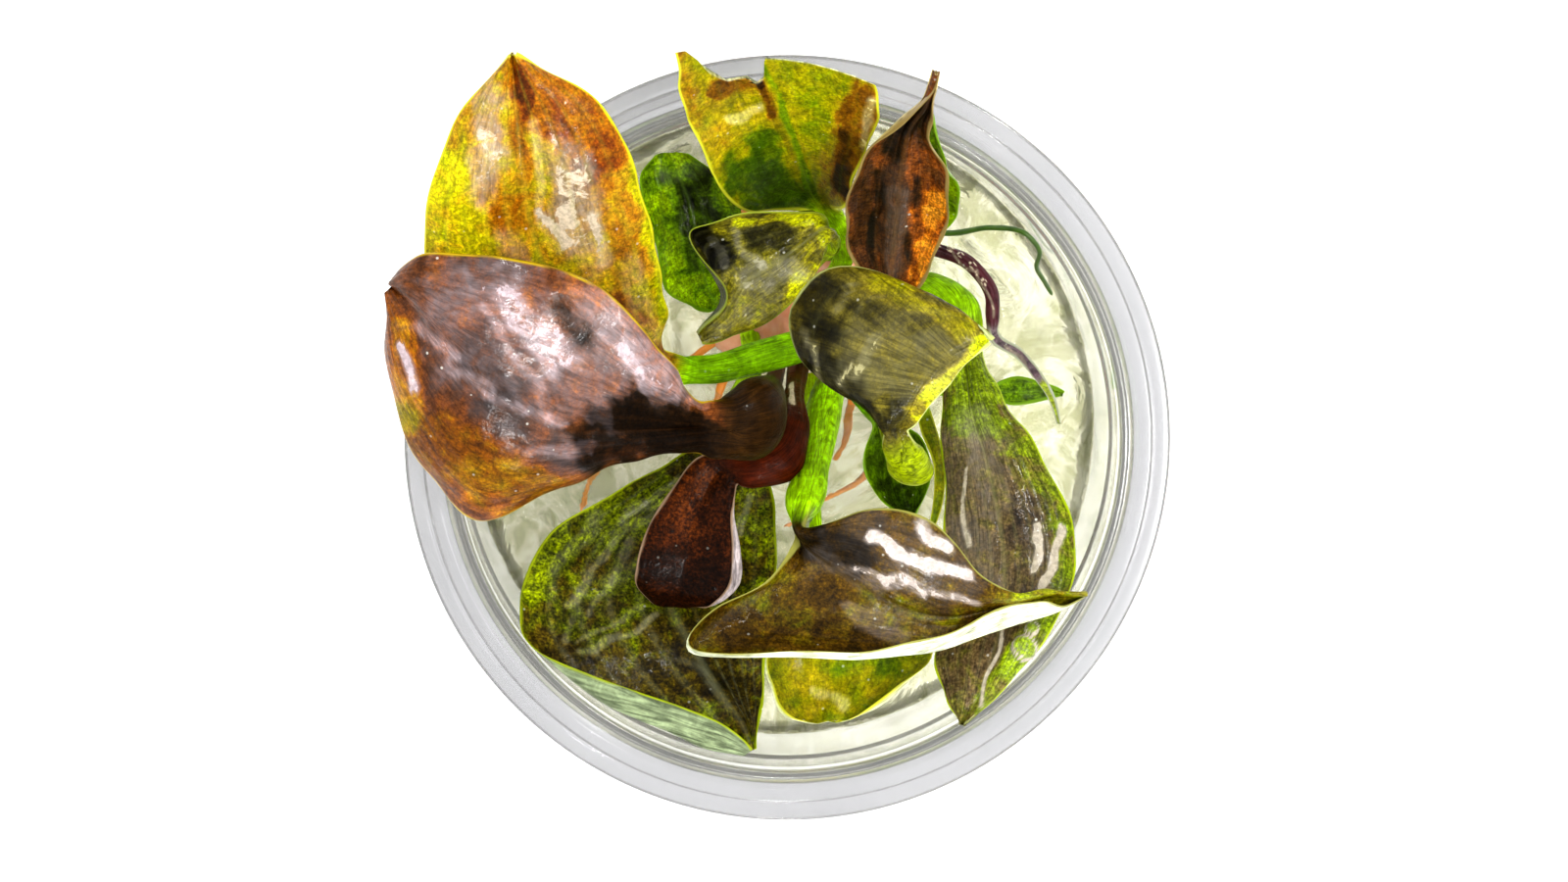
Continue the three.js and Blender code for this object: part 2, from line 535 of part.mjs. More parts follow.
// The gel fills the bottom of the cup, with a pocket round the crown and round each root
const GEL_RADIUS = BASE_INNER_RADIUS - GAP;
const GEL_CORNER = 2.4;
const MENISCUS = 0.8;
function gelSolid() {
  const low = FLOOR_THICKNESS + GAP;
  const profile = [
    [0, low],
    [GEL_RADIUS - GEL_CORNER, low],
    [GEL_RADIUS - GEL_CORNER * 0.3, low + GEL_CORNER * 0.3],
    [GEL_RADIUS, low + GEL_CORNER],
    [GEL_RADIUS, GEL_SURFACE + MENISCUS],
    [GEL_RADIUS - 1.2, GEL_SURFACE + MENISCUS * 0.2],
    [GEL_RADIUS - 3, GEL_SURFACE],
    [0, GEL_SURFACE],
  ];
  const lathe = new THREE.LatheGeometry(profile.map(([r, z]) => new THREE.Vector2(r, z)), ROUND_STEPS);
  lathe.rotateX(Math.PI / 2);
  return solidOf(lathe);
}

let gel = gelSolid().subtract(crownSolid(GAP));
Object.values(roots).forEach((root) => {
  gel = gel.subtract(solidOf(rootGeometry(root, GAP)));
});
addMesh('gel', geometryOfSolid(gel), 0xeef0d8, 0.2);

// The cup is one thin moulding: a flat floor with a rounded corner, a nearly upright wall, and at the
// mouth a flat flange with a groove and a raised bead inside it, which the lid snapped on to.
const CORNER = 2.6;
const FLANGE_TOP = RIM_HEIGHT - 2;
const FLANGE_THICKNESS = 1.4;
const BEAD_WIDTH = 1.1;
const GROOVE_DEPTH = 1;
function cupGeometry() {
  const outerBase = BASE_INNER_RADIUS + WALL;
  const beadOuter = MOUTH_RADIUS + BEAD_WIDTH;
  const groove = beadOuter + 0.8;
  const profile = [
    [0, 0],
    [outerBase - CORNER, 0],
    [outerBase - CORNER * 0.3, CORNER * 0.3],
    [outerBase, CORNER],
    [MOUTH_RADIUS + WALL, FLANGE_TOP - FLANGE_THICKNESS - 2.4],
    [groove, FLANGE_TOP - FLANGE_THICKNESS - 0.6],
    [groove + 0.8, FLANGE_TOP - FLANGE_THICKNESS],
    [RIM_RADIUS - 0.5, FLANGE_TOP - FLANGE_THICKNESS],
    [RIM_RADIUS, FLANGE_TOP - FLANGE_THICKNESS + 0.5],
    [RIM_RADIUS, FLANGE_TOP - 0.4],
    [RIM_RADIUS - 0.4, FLANGE_TOP],
    [groove + 0.7, FLANGE_TOP],
    [groove, FLANGE_TOP - GROOVE_DEPTH],
    [beadOuter, FLANGE_TOP - GROOVE_DEPTH],
    [beadOuter, RIM_HEIGHT - 0.5],
    [beadOuter - 0.4, RIM_HEIGHT],
    [MOUTH_RADIUS + 0.4, RIM_HEIGHT],
    [MOUTH_RADIUS, RIM_HEIGHT - 0.5],
    [BASE_INNER_RADIUS, FLOOR_THICKNESS + GEL_CORNER],
    [BASE_INNER_RADIUS - GEL_CORNER * 0.3, FLOOR_THICKNESS + GEL_CORNER * 0.3],
    [BASE_INNER_RADIUS - GEL_CORNER, FLOOR_THICKNESS],
    [0, FLOOR_THICKNESS],
  ];
  const lathe = new THREE.LatheGeometry(profile.map(([r, z]) => new THREE.Vector2(r, z)), ROUND_STEPS);
  lathe.rotateX(Math.PI / 2);
  return geometryOfSolid(solidOf(lathe));
}
addMesh('cup', cupGeometry(), 0xe6e6e4, 0.15);

export default plant;
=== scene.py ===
import math

import bpy
import numpy as np
from mathutils import Matrix, Vector


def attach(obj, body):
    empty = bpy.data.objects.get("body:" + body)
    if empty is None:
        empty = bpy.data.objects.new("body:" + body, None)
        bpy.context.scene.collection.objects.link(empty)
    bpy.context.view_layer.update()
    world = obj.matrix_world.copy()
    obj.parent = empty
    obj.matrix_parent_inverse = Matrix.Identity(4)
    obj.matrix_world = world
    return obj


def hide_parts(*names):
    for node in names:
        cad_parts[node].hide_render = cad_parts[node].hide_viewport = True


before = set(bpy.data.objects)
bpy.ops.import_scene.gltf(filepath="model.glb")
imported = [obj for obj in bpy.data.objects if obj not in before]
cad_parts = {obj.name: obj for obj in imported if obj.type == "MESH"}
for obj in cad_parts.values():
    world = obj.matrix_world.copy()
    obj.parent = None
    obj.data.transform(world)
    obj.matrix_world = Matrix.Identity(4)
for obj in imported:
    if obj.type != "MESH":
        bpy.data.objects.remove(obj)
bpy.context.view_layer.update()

# The cup is one thin moulding of polypropylene, clear and faintly milky. It was injection moulded, so
# its corners are softly rounded, and the flange round its mouth keeps the ring where the lid snapped on.
MM = 0.001
RIM_HEIGHT = 62.0
RIM_RADIUS = 49.0
MOUTH_RADIUS = 42.5
BASE_RADIUS = 41.6
WALL = 1.0
FLOOR_THICKNESS = 1.2
FLANGE_TOP = RIM_HEIGHT - 2
FLANGE_THICKNESS = 1.4
BEAD_WIDTH = 1.1
GROOVE_WIDTH = 0.8
GROOVE_DEPTH = 1.0
FINE_GROOVE_INSET = 2.2
FINE_GROOVE_HALF = 0.3
FINE_GROOVE_DEPTH = 0.25
WALL_STEP_DEPTH = 15
WALL_STEP = 0.4
DRAFT = 0.15
ROUND_STEPS = 256


def linear(hex_colour):
    """Linear RGBA of an sRGB hex value: ((c + 0.055) / 1.055) ^ 2.4 above 0.04045, and c / 12.92 below."""
    parts = [int(hex_colour[i:i + 2], 16) / 255 for i in (1, 3, 5)]
    return [c / 12.92 if c <= 0.04045 else ((c + 0.055) / 1.055) ** 2.4 for c in parts] + [1.0]


def node(material, kind, inputs=None, **settings):
    """Adds a node to a material. Each input is a value, or an output socket that is linked to it."""
    made = material.node_tree.nodes.new(kind)
    for key, value in settings.items():
        setattr(made, key, value)
    for key, value in (inputs or {}).items():
        if isinstance(value, bpy.types.NodeSocket):
            material.node_tree.links.new(value, made.inputs[key])
        else:
            made.inputs[key].default_value = value
    return made


def new_material(name):
    """An empty node material with its output node, and the Principled shader that feeds it."""
    material = bpy.data.materials.new(name)
    material.use_nodes = True
    material.node_tree.nodes.clear()
    shader = node(material, "ShaderNodeBsdfPrincipled")
    node(material, "ShaderNodeOutputMaterial", {"Surface": shader.outputs["BSDF"]})
    return material, shader


def new_piece(name, points, faces, material, values=None):
    """A smooth mesh object from points in millimetres, with one number for each point in each of values."""
    mesh = bpy.data.meshes.new(name)
    mesh.from_pydata((np.asarray(points) * MM).tolist(), [], faces)
    mesh.polygons.foreach_set("use_smooth", np.ones(len(mesh.polygons), bool))
    for key, numbers in (values or {}).items():
        layer = mesh.attributes.new(key, "FLOAT", "POINT")
        layer.data.foreach_set("value", np.asarray(numbers, np.float32))
    mesh.update()
    piece = bpy.data.objects.new(name, mesh)
    piece.data.materials.append(material)
    bpy.context.scene.collection.objects.link(piece)
    return piece


def wrapped(rings, poles=None, flipped=False):
    """Points and faces of a closed skin over rings of points, given as rows. Each ring is joined to the
    next by four-sided faces. The first and last ring are closed by a fan to their pole, or by one flat
    face where no poles are given. Flipped turns the faces round, for rings that run the other way."""
    rows, around = rings.shape[:2]
    index = np.arange(rows * around).reshape(rows, around)
    after = np.roll(index, -1, axis=1)
    walls = np.stack([index[:-1], after[:-1], after[1:], index[1:]], -1).reshape(-1, 4)
    points = rings.reshape(-1, 3)
    ends = [index[0, ::-1].tolist(), index[-1].tolist()]
    if poles is not None:
        first = np.stack([after[0], index[0], np.full(around, len(points))], -1)
        last = np.stack([index[-1], after[-1], np.full(around, len(points) + 1)], -1)
        points = np.concatenate([points, poles])
        ends = first.tolist() + last.tolist()
    if flipped:
        walls = walls[:, [0, 3, 2, 1]]
        ends = [end[::-1] for end in ends]
    return points, walls.tolist() + ends


def rounded(corners, steps=5):
    """A profile with each [r, z, fillet] corner replaced by the arc that touches both of its edges.
    The arc is drawn as the quadratic curve from one touching point to the other, pulled to the corner."""
    points = np.array([c[:2] for c in corners])
    radii = np.array([c[2] for c in corners])
    outline = []
    for i, corner in enumerate(points):
        if radii[i] == 0:
            outline.append(corner[None])
            continue
        before = points[i - 1] - corner
        after = points[(i + 1) % len(points)] - corner
        reach = min(radii[i], 0.45 * np.linalg.norm(before), 0.45 * np.linalg.norm(after))
        start = corner + before / np.linalg.norm(before) * reach
        end = corner + after / np.linalg.norm(after) * reach
        t = np.linspace(0, 1, steps)[:, None]
        outline.append((1 - t) ** 2 * start + 2 * t * (1 - t) * corner + t ** 2 * end)
    return np.concatenate(outline)


def turned(profile, steps):
    """A surface of revolution: the profile's point (r, z) at angle a is (r cos a, r sin a, z). The profile
    runs outwards along the underside from one pole on the axis and ends at the other pole."""
    angle = np.linspace(0, 2 * math.pi, steps, endpoint=False)
    r, z = profile[1:-1].T[..., None]
    rings = np.stack([r * np.cos(angle), r * np.sin(angle), z * np.ones(steps)], -1)
    return wrapped(rings, [[0, 0, profile[0, 1]], [0, 0, profile[-1, 1]]])


flange_under = FLANGE_TOP - FLANGE_THICKNESS
bead_outer = MOUTH_RADIUS + BEAD_WIDTH
groove_outer = bead_outer + GROOVE_WIDTH
fine_groove = RIM_RADIUS - FINE_GROOVE_INSET
wall_step = RIM_HEIGHT - WALL_STEP_DEPTH
cup_corners = [
    [0, 0, 0],
    [BASE_RADIUS + WALL, 0, 2.6],
    [MOUTH_RADIUS + WALL, flange_under - 2.4, 1.5],
    [groove_outer, flange_under - 0.6, 0.6],
    [groove_outer + 0.8, flange_under, 0.5],
    [RIM_RADIUS, flange_under, 0.5],
    [RIM_RADIUS, FLANGE_TOP, 0.45],
    [fine_groove + FINE_GROOVE_HALF, FLANGE_TOP, 0.3],
    [fine_groove, FLANGE_TOP - FINE_GROOVE_DEPTH, 0.2],
    [fine_groove - FINE_GROOVE_HALF, FLANGE_TOP, 0.3],
    [groove_outer + 0.7, FLANGE_TOP, 0.25],
    [groove_outer, FLANGE_TOP - GROOVE_DEPTH, 0.25],
    [bead_outer, FLANGE_TOP - GROOVE_DEPTH, 0.2],
    [bead_outer, RIM_HEIGHT, 0.4],
    [MOUTH_RADIUS, RIM_HEIGHT, 0.4],
    [MOUTH_RADIUS - DRAFT, wall_step, 0.3],
    [MOUTH_RADIUS - DRAFT - WALL_STEP, wall_step - 1, 0.3],
    [BASE_RADIUS, FLOOR_THICKNESS, 2.4],
    [0, FLOOR_THICKNESS, 0],
]

# Clear polypropylene, moulded smooth and a little milky: the thick flange reads pale grey, and the thin
# wall is clear, with faint smears of 18 mm. Its attribute is 0 on the flange and 1 inside of it.
polypropylene, shader = new_material("clear_polypropylene_moulded")
place_in = node(polypropylene, "ShaderNodeTexCoord").outputs["Object"]
inside = node(polypropylene, "ShaderNodeAttribute", attribute_name="inside_flange").outputs["Fac"]
smears = node(polypropylene, "ShaderNodeTexNoise", {
    "Vector": place_in, "Scale": 1000 / 18, "Detail": 3.0}).outputs["Fac"]
uneven = node(polypropylene, "ShaderNodeBump", {"Height": smears, "Strength": 0.05, "Distance": 0.0004})
smeared = node(polypropylene, "ShaderNodeMapRange", {"Value": smears, 1: 0.35, 2: 0.65, 3: 0.6, 4: 1.0})
clean = node(polypropylene, "ShaderNodeMath", {0: inside, 1: smeared.outputs[0]}, operation="MULTIPLY")
tint = node(polypropylene, "ShaderNodeMix", {
    0: clean.outputs[0], 6: linear("#AEAEB0"), 7: linear("#FCFCF9")}, data_type="RGBA")
clarity = node(polypropylene, "ShaderNodeMapRange", {"Value": inside, 3: 0.86, 4: 0.93})
shader.inputs["Roughness"].default_value = 0.12
shader.inputs["IOR"].default_value = 1.49
polypropylene.node_tree.links.new(clarity.outputs[0], shader.inputs["Transmission Weight"])
polypropylene.node_tree.links.new(tint.outputs[2], shader.inputs["Base Color"])
polypropylene.node_tree.links.new(uneven.outputs["Normal"], shader.inputs["Normal"])

FLANGE_FADE = 0.6
cup_points, cup_faces = turned(rounded(cup_corners), ROUND_STEPS)
cup_radii = np.hypot(cup_points[:, 0], cup_points[:, 1])
inside_flange = np.clip((groove_outer - cup_radii) / FLANGE_FADE, 0, 1)
cup = new_piece("cup_moulding", cup_points, cup_faces, polypropylene, {"inside_flange": inside_flange})
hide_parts("cup")
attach(cup, "root")
# A thin clear wall hardly shades what stands in it, and a traced shadow would leave the inside dark.
cup.visible_shadow = False

# The gel is clear nutrient agar, poured in hot and set. Its surface is wavy where the plantlets were
# pushed in, with shallow swirls and ripples, and it is faintly cream-green and cloudy.
GEL_SURFACE = 17.0
GEL_RADIUS = BASE_RADIUS + 0.12
GEL_LOW = FLOOR_THICKNESS - 0.05
GEL_RINGS = 90
GEL_STEPS = 240
RIPPLE_MIDDLE = [2.0, 14.0]
RIPPLE_SPACING = 5.2
RIPPLE_HEIGHT = 0.85
MENISCUS_HEIGHT = 1.1
MENISCUS_REACH = 0.9


def waves(points, size, seed, count=7):
    """Smooth noise of about -1 to 1: 1.8 times the mean of some plane waves, each about one size long, with
    a random direction, length and phase."""
    random = np.random.default_rng(seed)
    directions = random.normal(size=(count, points.shape[-1]))
    directions /= np.linalg.norm(directions, axis=1, keepdims=True)
    lengths = size * random.uniform(0.7, 1.5, count)
    phases = random.uniform(0, 2 * math.pi, count)
    angles = (points @ directions.T) / lengths * 2 * math.pi + phases
    return np.sin(angles).mean(-1) * 1.8


def gel_surface():
    """Height of the gel over the plan point (x, y): the level, plus smooth noise of 11 and 4 mm, plus
    wandering ripples about the crown, highest 19 mm away from it and dying out over 13 mm, plus the
    meniscus, a short rise towards the wall."""
    r = np.linspace(0, 1, GEL_RINGS) ** 0.8 * GEL_RADIUS
    angle = np.linspace(0, 2 * math.pi, GEL_STEPS, endpoint=False)
    plan = np.stack([np.outer(r, np.cos(angle)), np.outer(r, np.sin(angle))], -1)
    away = np.linalg.norm(plan - RIPPLE_MIDDLE, axis=-1)
    ripples = np.cos(away / RIPPLE_SPACING * 2 * math.pi + 2.2 * waves(plan, 24, 5))
    height = GEL_SURFACE + 0.42 * waves(plan, 11, 3) + 0.14 * waves(plan, 4, 4)
    height += RIPPLE_HEIGHT * ripples * np.exp(-((away - 19) / 13) ** 2)
    height += MENISCUS_HEIGHT * np.exp(-(BASE_RADIUS - r[:, None]) / MENISCUS_REACH)
    return np.concatenate([plan, height[..., None]], -1)


surface = gel_surface()
rim = surface[-1]
side = [np.column_stack([rim[:, :2], GEL_LOW + (rim[:, 2] - GEL_LOW) * share]) for share in (0.6, 0.25, 0)]
gel_points, gel_faces = wrapped(
    np.concatenate([surface[1:], side]), [surface[0, 0], [0, 0, GEL_LOW]], flipped=True)

# Agar gel: water set by a little agar, so it refracts as water does, and is wet and glossy on top. Its
# swirls of 9 mm are a darker tint, partly its own clouding and partly painted shade for the light and
# dark lines of its ripples.
agar, shader = new_material("agar_gel_set")
place_in = node(agar, "ShaderNodeTexCoord").outputs["Object"]
swirl = node(agar, "ShaderNodeTexNoise", {
    "Vector": place_in, "Scale": 1000 / 9, "Detail": 3.0, "Distortion": 2.6}).outputs["Fac"]
uneven = node(agar, "ShaderNodeBump", {"Height": swirl, "Strength": 0.8, "Distance": 0.0012})
cloud = node(agar, "ShaderNodeMapRange", {"Value": swirl, 1: 0.46, 2: 0.56, 3: 0.0, 4: 1.0})
tint = node(agar, "ShaderNodeMix", {
    0: cloud.outputs[0], 6: linear("#E8E6D2"), 7: linear("#C0C09C")}, data_type="RGBA")
shader.inputs["Roughness"].default_value = 0.08
shader.inputs["IOR"].default_value = 1.34
shader.inputs["Transmission Weight"].default_value = 0.86
agar.node_tree.links.new(tint.outputs[2], shader.inputs["Base Color"])
agar.node_tree.links.new(uneven.outputs["Normal"], shader.inputs["Normal"])

gel = new_piece("gel_set", gel_points, gel_faces, agar)
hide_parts("gel")
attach(gel, "root")
# The gel lets the light down to the roots and the floor, as the cup's wall does.
gel.visible_shadow = False

# The crown is a clump of short rhizomes and callus, pink and cream, that every petiole grows from. It
# sits half in the gel. Each lump is an oval, [x, y, z, and its half length along x, y and z].
EYE = np.array([-15.0, 45.0, 962.0])
CROWN_ROWS, CROWN_COLUMNS = 150, 220
LUMP_SHARPNESS = 2.5
KNOB_INSET = 0.35
POLE_GAP = 0.02
crown_lumps = [
    [2.2, 15, 18.6, 7.2, 6.6, 5.0],
    [-5.4, 13, 17.8, 4.5, 3.5, 3.7],
    [9, 10.4, 17.8, 4.8, 4.8, 3.9],
    [6.6, 20.8, 18, 5.8, 4.6, 4.5],
    [-2.2, 18.6, 18, 4.8, 4.5, 4.1],
]


def placed(seen):
    """Slides points drawn as seen from above at rim height along their lines of sight to their true height:
    x and y are scaled about the eye's foot by (eye height - z) / (eye height - rim height)."""
    seen = np.asarray(seen, float)
    nearness = (EYE[2] - seen[..., 2:3]) / (EYE[2] - RIM_HEIGHT)
    return np.concatenate([EYE[:2] + (seen[..., :2] - EYE[:2]) * nearness, seen[..., 2:3]], -1)


def crown_rings():
    """A star-shaped surface about the crown's middle: along each direction it is as far as the farthest
    lump's surface, softened between lumps, plus knobbly noise of 3.4 and 1.3 mm. A lump's surface lies
    where the quadratic a t^2 - 2 b t + c of the distance t along the ray is zero."""
    polar = np.linspace(POLE_GAP, math.pi - POLE_GAP, CROWN_ROWS)
    turn = np.linspace(0, 2 * math.pi, CROWN_COLUMNS, endpoint=False)
    polar, turn = np.meshgrid(polar, turn, indexing="ij")
    ray = np.stack([np.sin(polar) * np.cos(turn), np.sin(polar) * np.sin(turn), np.cos(polar)], -1)
    lumps = np.array(crown_lumps)
    centres = placed(lumps[:, :3])
    middle = centres[0]
    reaches = []
    for centre, radii in zip(centres, lumps[:, 3:]):
        offset = (middle - centre) / radii
        step = ray / radii
        a = (step ** 2).sum(-1)
        b = (step * offset).sum(-1)
        c = (offset ** 2).sum() - 1
        under = b * b - a * c
        reaches.append(np.where(under > 0, (-b + np.sqrt(np.maximum(under, 0))) / a, 0))
    reach = np.log(np.exp(LUMP_SHARPNESS * np.array(reaches)).sum(0)) / LUMP_SHARPNESS
    points = middle + ray * reach[..., None]
    knobs = 0.28 * waves(points, 3.4, 11) + 0.12 * waves(points, 1.3, 12)
    return points + ray * (knobs - KNOB_INSET)[..., None]


# Rhizome and callus: soft, moist tissue, pink where it flushed and cream in the hollows
rhizome, shader = new_material("rhizome_callus_moist")
place_in = node(rhizome, "ShaderNodeTexCoord").outputs["Object"]
patches = node(rhizome, "ShaderNodeTexNoise", {
    "Vector": place_in, "Scale": 1000 / 4, "Detail": 5.0, "Roughness": 0.65}).outputs["Fac"]
tint = node(rhizome, "ShaderNodeMix", {
    0: patches, 6: linear("#F0C9A0"), 7: linear("#D9694A")}, data_type="RGBA")
cells = node(rhizome, "ShaderNodeTexVoronoi", {"Vector": place_in, "Scale": 1000 / 0.9}).outputs["Distance"]
uneven = node(rhizome, "ShaderNodeBump", {"Height": cells, "Strength": 0.5, "Distance": 0.0002})
shader.inputs["Roughness"].default_value = 0.35
shader.inputs["Subsurface Weight"].default_value = 0.25
shader.inputs["Subsurface Radius"].default_value = (0.003, 0.0015, 0.001)
shader.inputs["Coat Weight"].default_value = 0.6
shader.inputs["Coat Roughness"].default_value = 0.08
rhizome.node_tree.links.new(tint.outputs[2], shader.inputs["Base Color"])
rhizome.node_tree.links.new(uneven.outputs["Normal"], shader.inputs["Normal"])

rings = crown_rings()
crown_poles = [rings[0].mean(0), rings[-1].mean(0)]
crown = new_piece("crown_clump", *wrapped(rings, crown_poles, flipped=True), rhizome)
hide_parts("crown")
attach(crown, "root")

# The tall leaf at the upper left. Every leaf is soft green tissue, grown in one piece from the foot of
# its petiole to the tip of its blade, and wet all over. This one is olive, flushed brown towards its tip.
LEAF_ROWS = 200
WIDE_COLUMNS = 96
NARROW_COLUMNS = 48
BLADE_THICKNESS = 0.42
PETIOLE_FLATNESS = 0.72
FOLD_ROUNDING = 0.06
ROLL_REACH = 0.16
RUFFLE_LENGTH = 9
BLADE_FOOT = 0.12
SOFT_EDGE = 0.06
CHANNEL_WIDTH = 0.035
CHANNEL_DEPTH = 0.16
KEEL_DEPTH = 0.5
VEIN_PLACES = (0.2, 0.4, 0.6, 0.8)
VEIN_WIDTH = 0.022
VEIN_DEPTH = 0.05
PETIOLE_RIB = 0.06
DROP_HEIGHT = 0.7
RIM_LINE = 0.36
FULL_SHADE = 0.8
# A drop is greener and painted lighter, and the ring round its edge gets a painted highlight.
DROP_CHANGES = np.array([-0.12, 0.12, 0, 1])
DROP_RING_HIGHLIGHT = 2
STORED = ("flush", "shade", "bloom", "gloss", "stalk", "margin", "rib", "vein", "under", "across", "along")


def unit(vectors):
    """Each vector divided by its length."""
    return vectors / np.maximum(np.linalg.norm(vectors, axis=-1, keepdims=True), 1e-9)


def smooth_through(values, places, at):
    """A cubic curve through the values at their places, read at every place in `at`. The slope at each
    place is the mean of the slopes of the two chords that meet there, the shorter one counting more."""
    step = np.diff(places)[:, None]
    chord = np.diff(values, axis=0) / step
    inner = (chord[:-1] * step[1:] + chord[1:] * step[:-1]) / (step[1:] + step[:-1])
    slope = np.concatenate([chord[:1], inner, chord[-1:]])
    flat = at.ravel()
    i = np.clip(np.searchsorted(places, flat, side="right") - 1, 0, len(step) - 1)
    h = step[i]
    t = (flat[:, None] - places[i][:, None]) / h
    curve = (1 + 2 * t) * (1 - t) ** 2 * values[i] + t * (1 - t) ** 2 * h * slope[i]
    curve += t ** 2 * (3 - 2 * t) * values[i + 1] + t ** 2 * (t - 1) * h * slope[i + 1]
    return curve.reshape(at.shape + (-1,))


def smooth_step(low, high, value):
    """0 below low, 1 above high, and 3 t^2 - 2 t^3 between them."""
    t = np.clip((value - low) / (high - low), 0, 1)
    return t * t * (3 - 2 * t)


def sheet_normal(sheet):
    """The upward normal of a sheet of rows and columns: the step across it crossed with the step along."""
    return unit(np.cross(np.gradient(sheet, axis=1), np.gradient(sheet, axis=0)))


def leaf_stations(petiole, blade, camber, rolls, hinge):
    """A row of numbers for each station of a leaf from foot to tip, and how far along each one lies. A
    blade's station is its left, middle and right point. A petiole's is [x, y, z, width], and its left and
    right point lie half the width out, square to the petiole, in the plane of the blade's first station.
    A row holds the three points, the thickness, 1 on the blade, two cambers, two rolls and the hinge."""
    petiole = np.array(petiole, float)
    blade = placed(blade)
    centres = placed(petiole[:, :3])
    path = np.concatenate([centres, blade[:1, 1]])
    along = unit(path[1:] - np.concatenate([path[:1], path[:-2]]))
    blade_side = unit(blade[0, 2] - blade[0, 0])
    side = unit(blade_side - (along @ blade_side)[:, None] * along) * petiole[:, 3:] / 2
    stations = np.concatenate([np.stack([centres - side, centres, centres + side], 1), blade])
    places = np.concatenate([[0], np.cumsum(np.linalg.norm(np.diff(stations[:, 1], axis=0), axis=1))])
    in_blade = np.arange(len(stations)) >= len(petiole)
    thickness = np.full(len(stations), BLADE_THICKNESS)
    thickness[:len(petiole)] = petiole[:, 3] * PETIOLE_FLATNESS
    bends = np.zeros((len(stations), 5))
    bends[in_blade, :2] = camber
    bends[in_blade, 2:4] = np.radians(rolls)
    bends[in_blade, 4] = hinge
    return np.column_stack([stations.reshape(-1, 9), thickness, in_blade, bends]), places


def rolled(away, width, turn, outward, upward):
    """How far the points of a sheet move when its margins roll up. Out from the middle column, each short
    step is turned up by its angle, so a point moves by the running sum of step (cos - 1) outwards and of
    step sin upwards."""
    step = np.abs(np.diff(away, axis=1)) * width[:, 1:]
    back = step * (np.cos(turn[:, 1:]) + np.cos(turn[:, :-1]) - 2) / 2
    rise = step * (np.sin(turn[:, 1:]) + np.sin(turn[:, :-1])) / 2
    middle = width.shape[1] // 2
    moved = np.zeros(width.shape + (3,))
    for change, direction in ((back, outward), (rise, upward)):
        total = np.zeros_like(width)
        total[:, middle + 1:] = np.cumsum(change[:, middle:], axis=1)
        total[:, :middle] = np.cumsum(change[:, :middle][:, ::-1], axis=1)[:, ::-1]
        moved += direction * total[..., None]
    return moved


def leaf_sheet(petiole, blade, camber, rolls, hinge, torn, columns):
    """The middle sheet of a leaf. Smooth curves run through its stations from foot to tip. Across, each
    half runs straight from the middle to its edge, plus 4 a (1 - a) times its camber, where a is how far
    out it is. Past its hinge a margin turns up through its angle over ROLL_REACH of the half's width and
    then runs straight on. A torn leaf keeps only a share of its last stretch: torn gives places across
    it, and the share at each. Returns the sheet, its thickness, how far along the blade and across the
    leaf from -1 to 1 each point is, the share of petiole, the length so far and the half's width."""
    table, places = leaf_stations(petiole, blade, camber, rolls, hinge)
    s = np.linspace(-1, 1, columns)
    end = np.interp(s, *torn) if torn else np.ones(columns)
    at = np.linspace(0, 1, LEAF_ROWS)[:, None] * (places[-2] + end * (places[-1] - places[-2]))
    row = smooth_through(table, places, at)
    left, middle, right = row[..., 0:3], row[..., 3:6], row[..., 6:9]
    thickness, in_blade, left_camber, right_camber, left_roll, right_roll, hinge_at = np.moveaxis(
        row[..., 9:], -1, 0)
    stalk = 1 - smooth_step(0, 1, in_blade)
    v = (1 - stalk) * (1.2 * s - 0.2 * s ** 3) + stalk * np.sin(math.pi / 2 * s)
    rounded_away = np.sqrt(v * v + FOLD_ROUNDING ** 2)
    away = np.clip(rounded_away, 0, 1)
    to_right = ((rounded_away + v) / 2)[..., None]
    to_left = ((rounded_away - v) / 2)[..., None]
    sheet = middle + to_right * (right - middle) + to_left * (left - middle)

    forward = unit(np.gradient(middle, axis=0))
    on_left = v < 0
    lift = np.where(on_left, left_camber, right_camber) * 4 * away * (1 - away)
    sheet = sheet + unit(np.cross(right - left, forward)) * lift[..., None]
    edge = np.where(on_left[..., None], left, right) - middle
    width = np.linalg.norm(edge, axis=-1)
    outward = unit(edge)
    upward = unit(np.cross(np.where(on_left[..., None], -outward, outward), forward))
    turn = np.where(on_left, left_roll, right_roll) * smooth_step(hinge_at, hinge_at + ROLL_REACH, away)
    sheet = sheet + rolled(away, width, turn, outward, upward)
    blade_start = places[len(petiole)]
    onward = np.clip((at - blade_start) / (places[-1] - blade_start), 0, 1)
    return sheet, np.maximum(thickness, BLADE_THICKNESS), onward, v, stalk, at, width


def swelled(sheet, v, at, body, swell, ruffle, seed):
    """The sheet moved along its normal by noise of 16 mm, and by waves 9 mm long that wander with noise of
    30 mm and grow with the fourth power of how far out they are, so that only the margin ruffles."""
    away = np.abs(v)
    ripples = np.sin(at * 2 * math.pi / RUFFLE_LENGTH + 2 * waves(sheet, 30, seed + 1) + np.sign(v))
    lift = swell * waves(sheet, 16, seed) * (0.35 + 0.65 * away) + ruffle * ripples * away ** 4
    return sheet + sheet_normal(sheet) * (lift * body)[..., None]


def water_film(sheet, v, at, body, seed):
    """Height of the water on a leaf: noise of 1.4 mm drawn out along it, and of 3.8 and 1.3 mm. It is a
    quarter as high on the petiole."""
    drawn_out = np.stack([v * 14, at / 5, np.zeros_like(at)], -1)
    height = 0.04 * waves(drawn_out, 1.4, seed + 2, 16) + 0.06 * waves(sheet, 3.8, seed + 3, 16)
    height += 0.018 * waves(sheet, 1.3, seed + 4, 24)
    return height * (0.25 + 0.75 * body)


def drawn(points):
    """The inverse of placed: where a point at its true height is seen on the plane of the rim."""
    nearness = (EYE[2] - points[..., 2:3]) / (EYE[2] - RIM_HEIGHT)
    return EYE[:2] + (points[..., :2] - EYE[:2]) / nearness


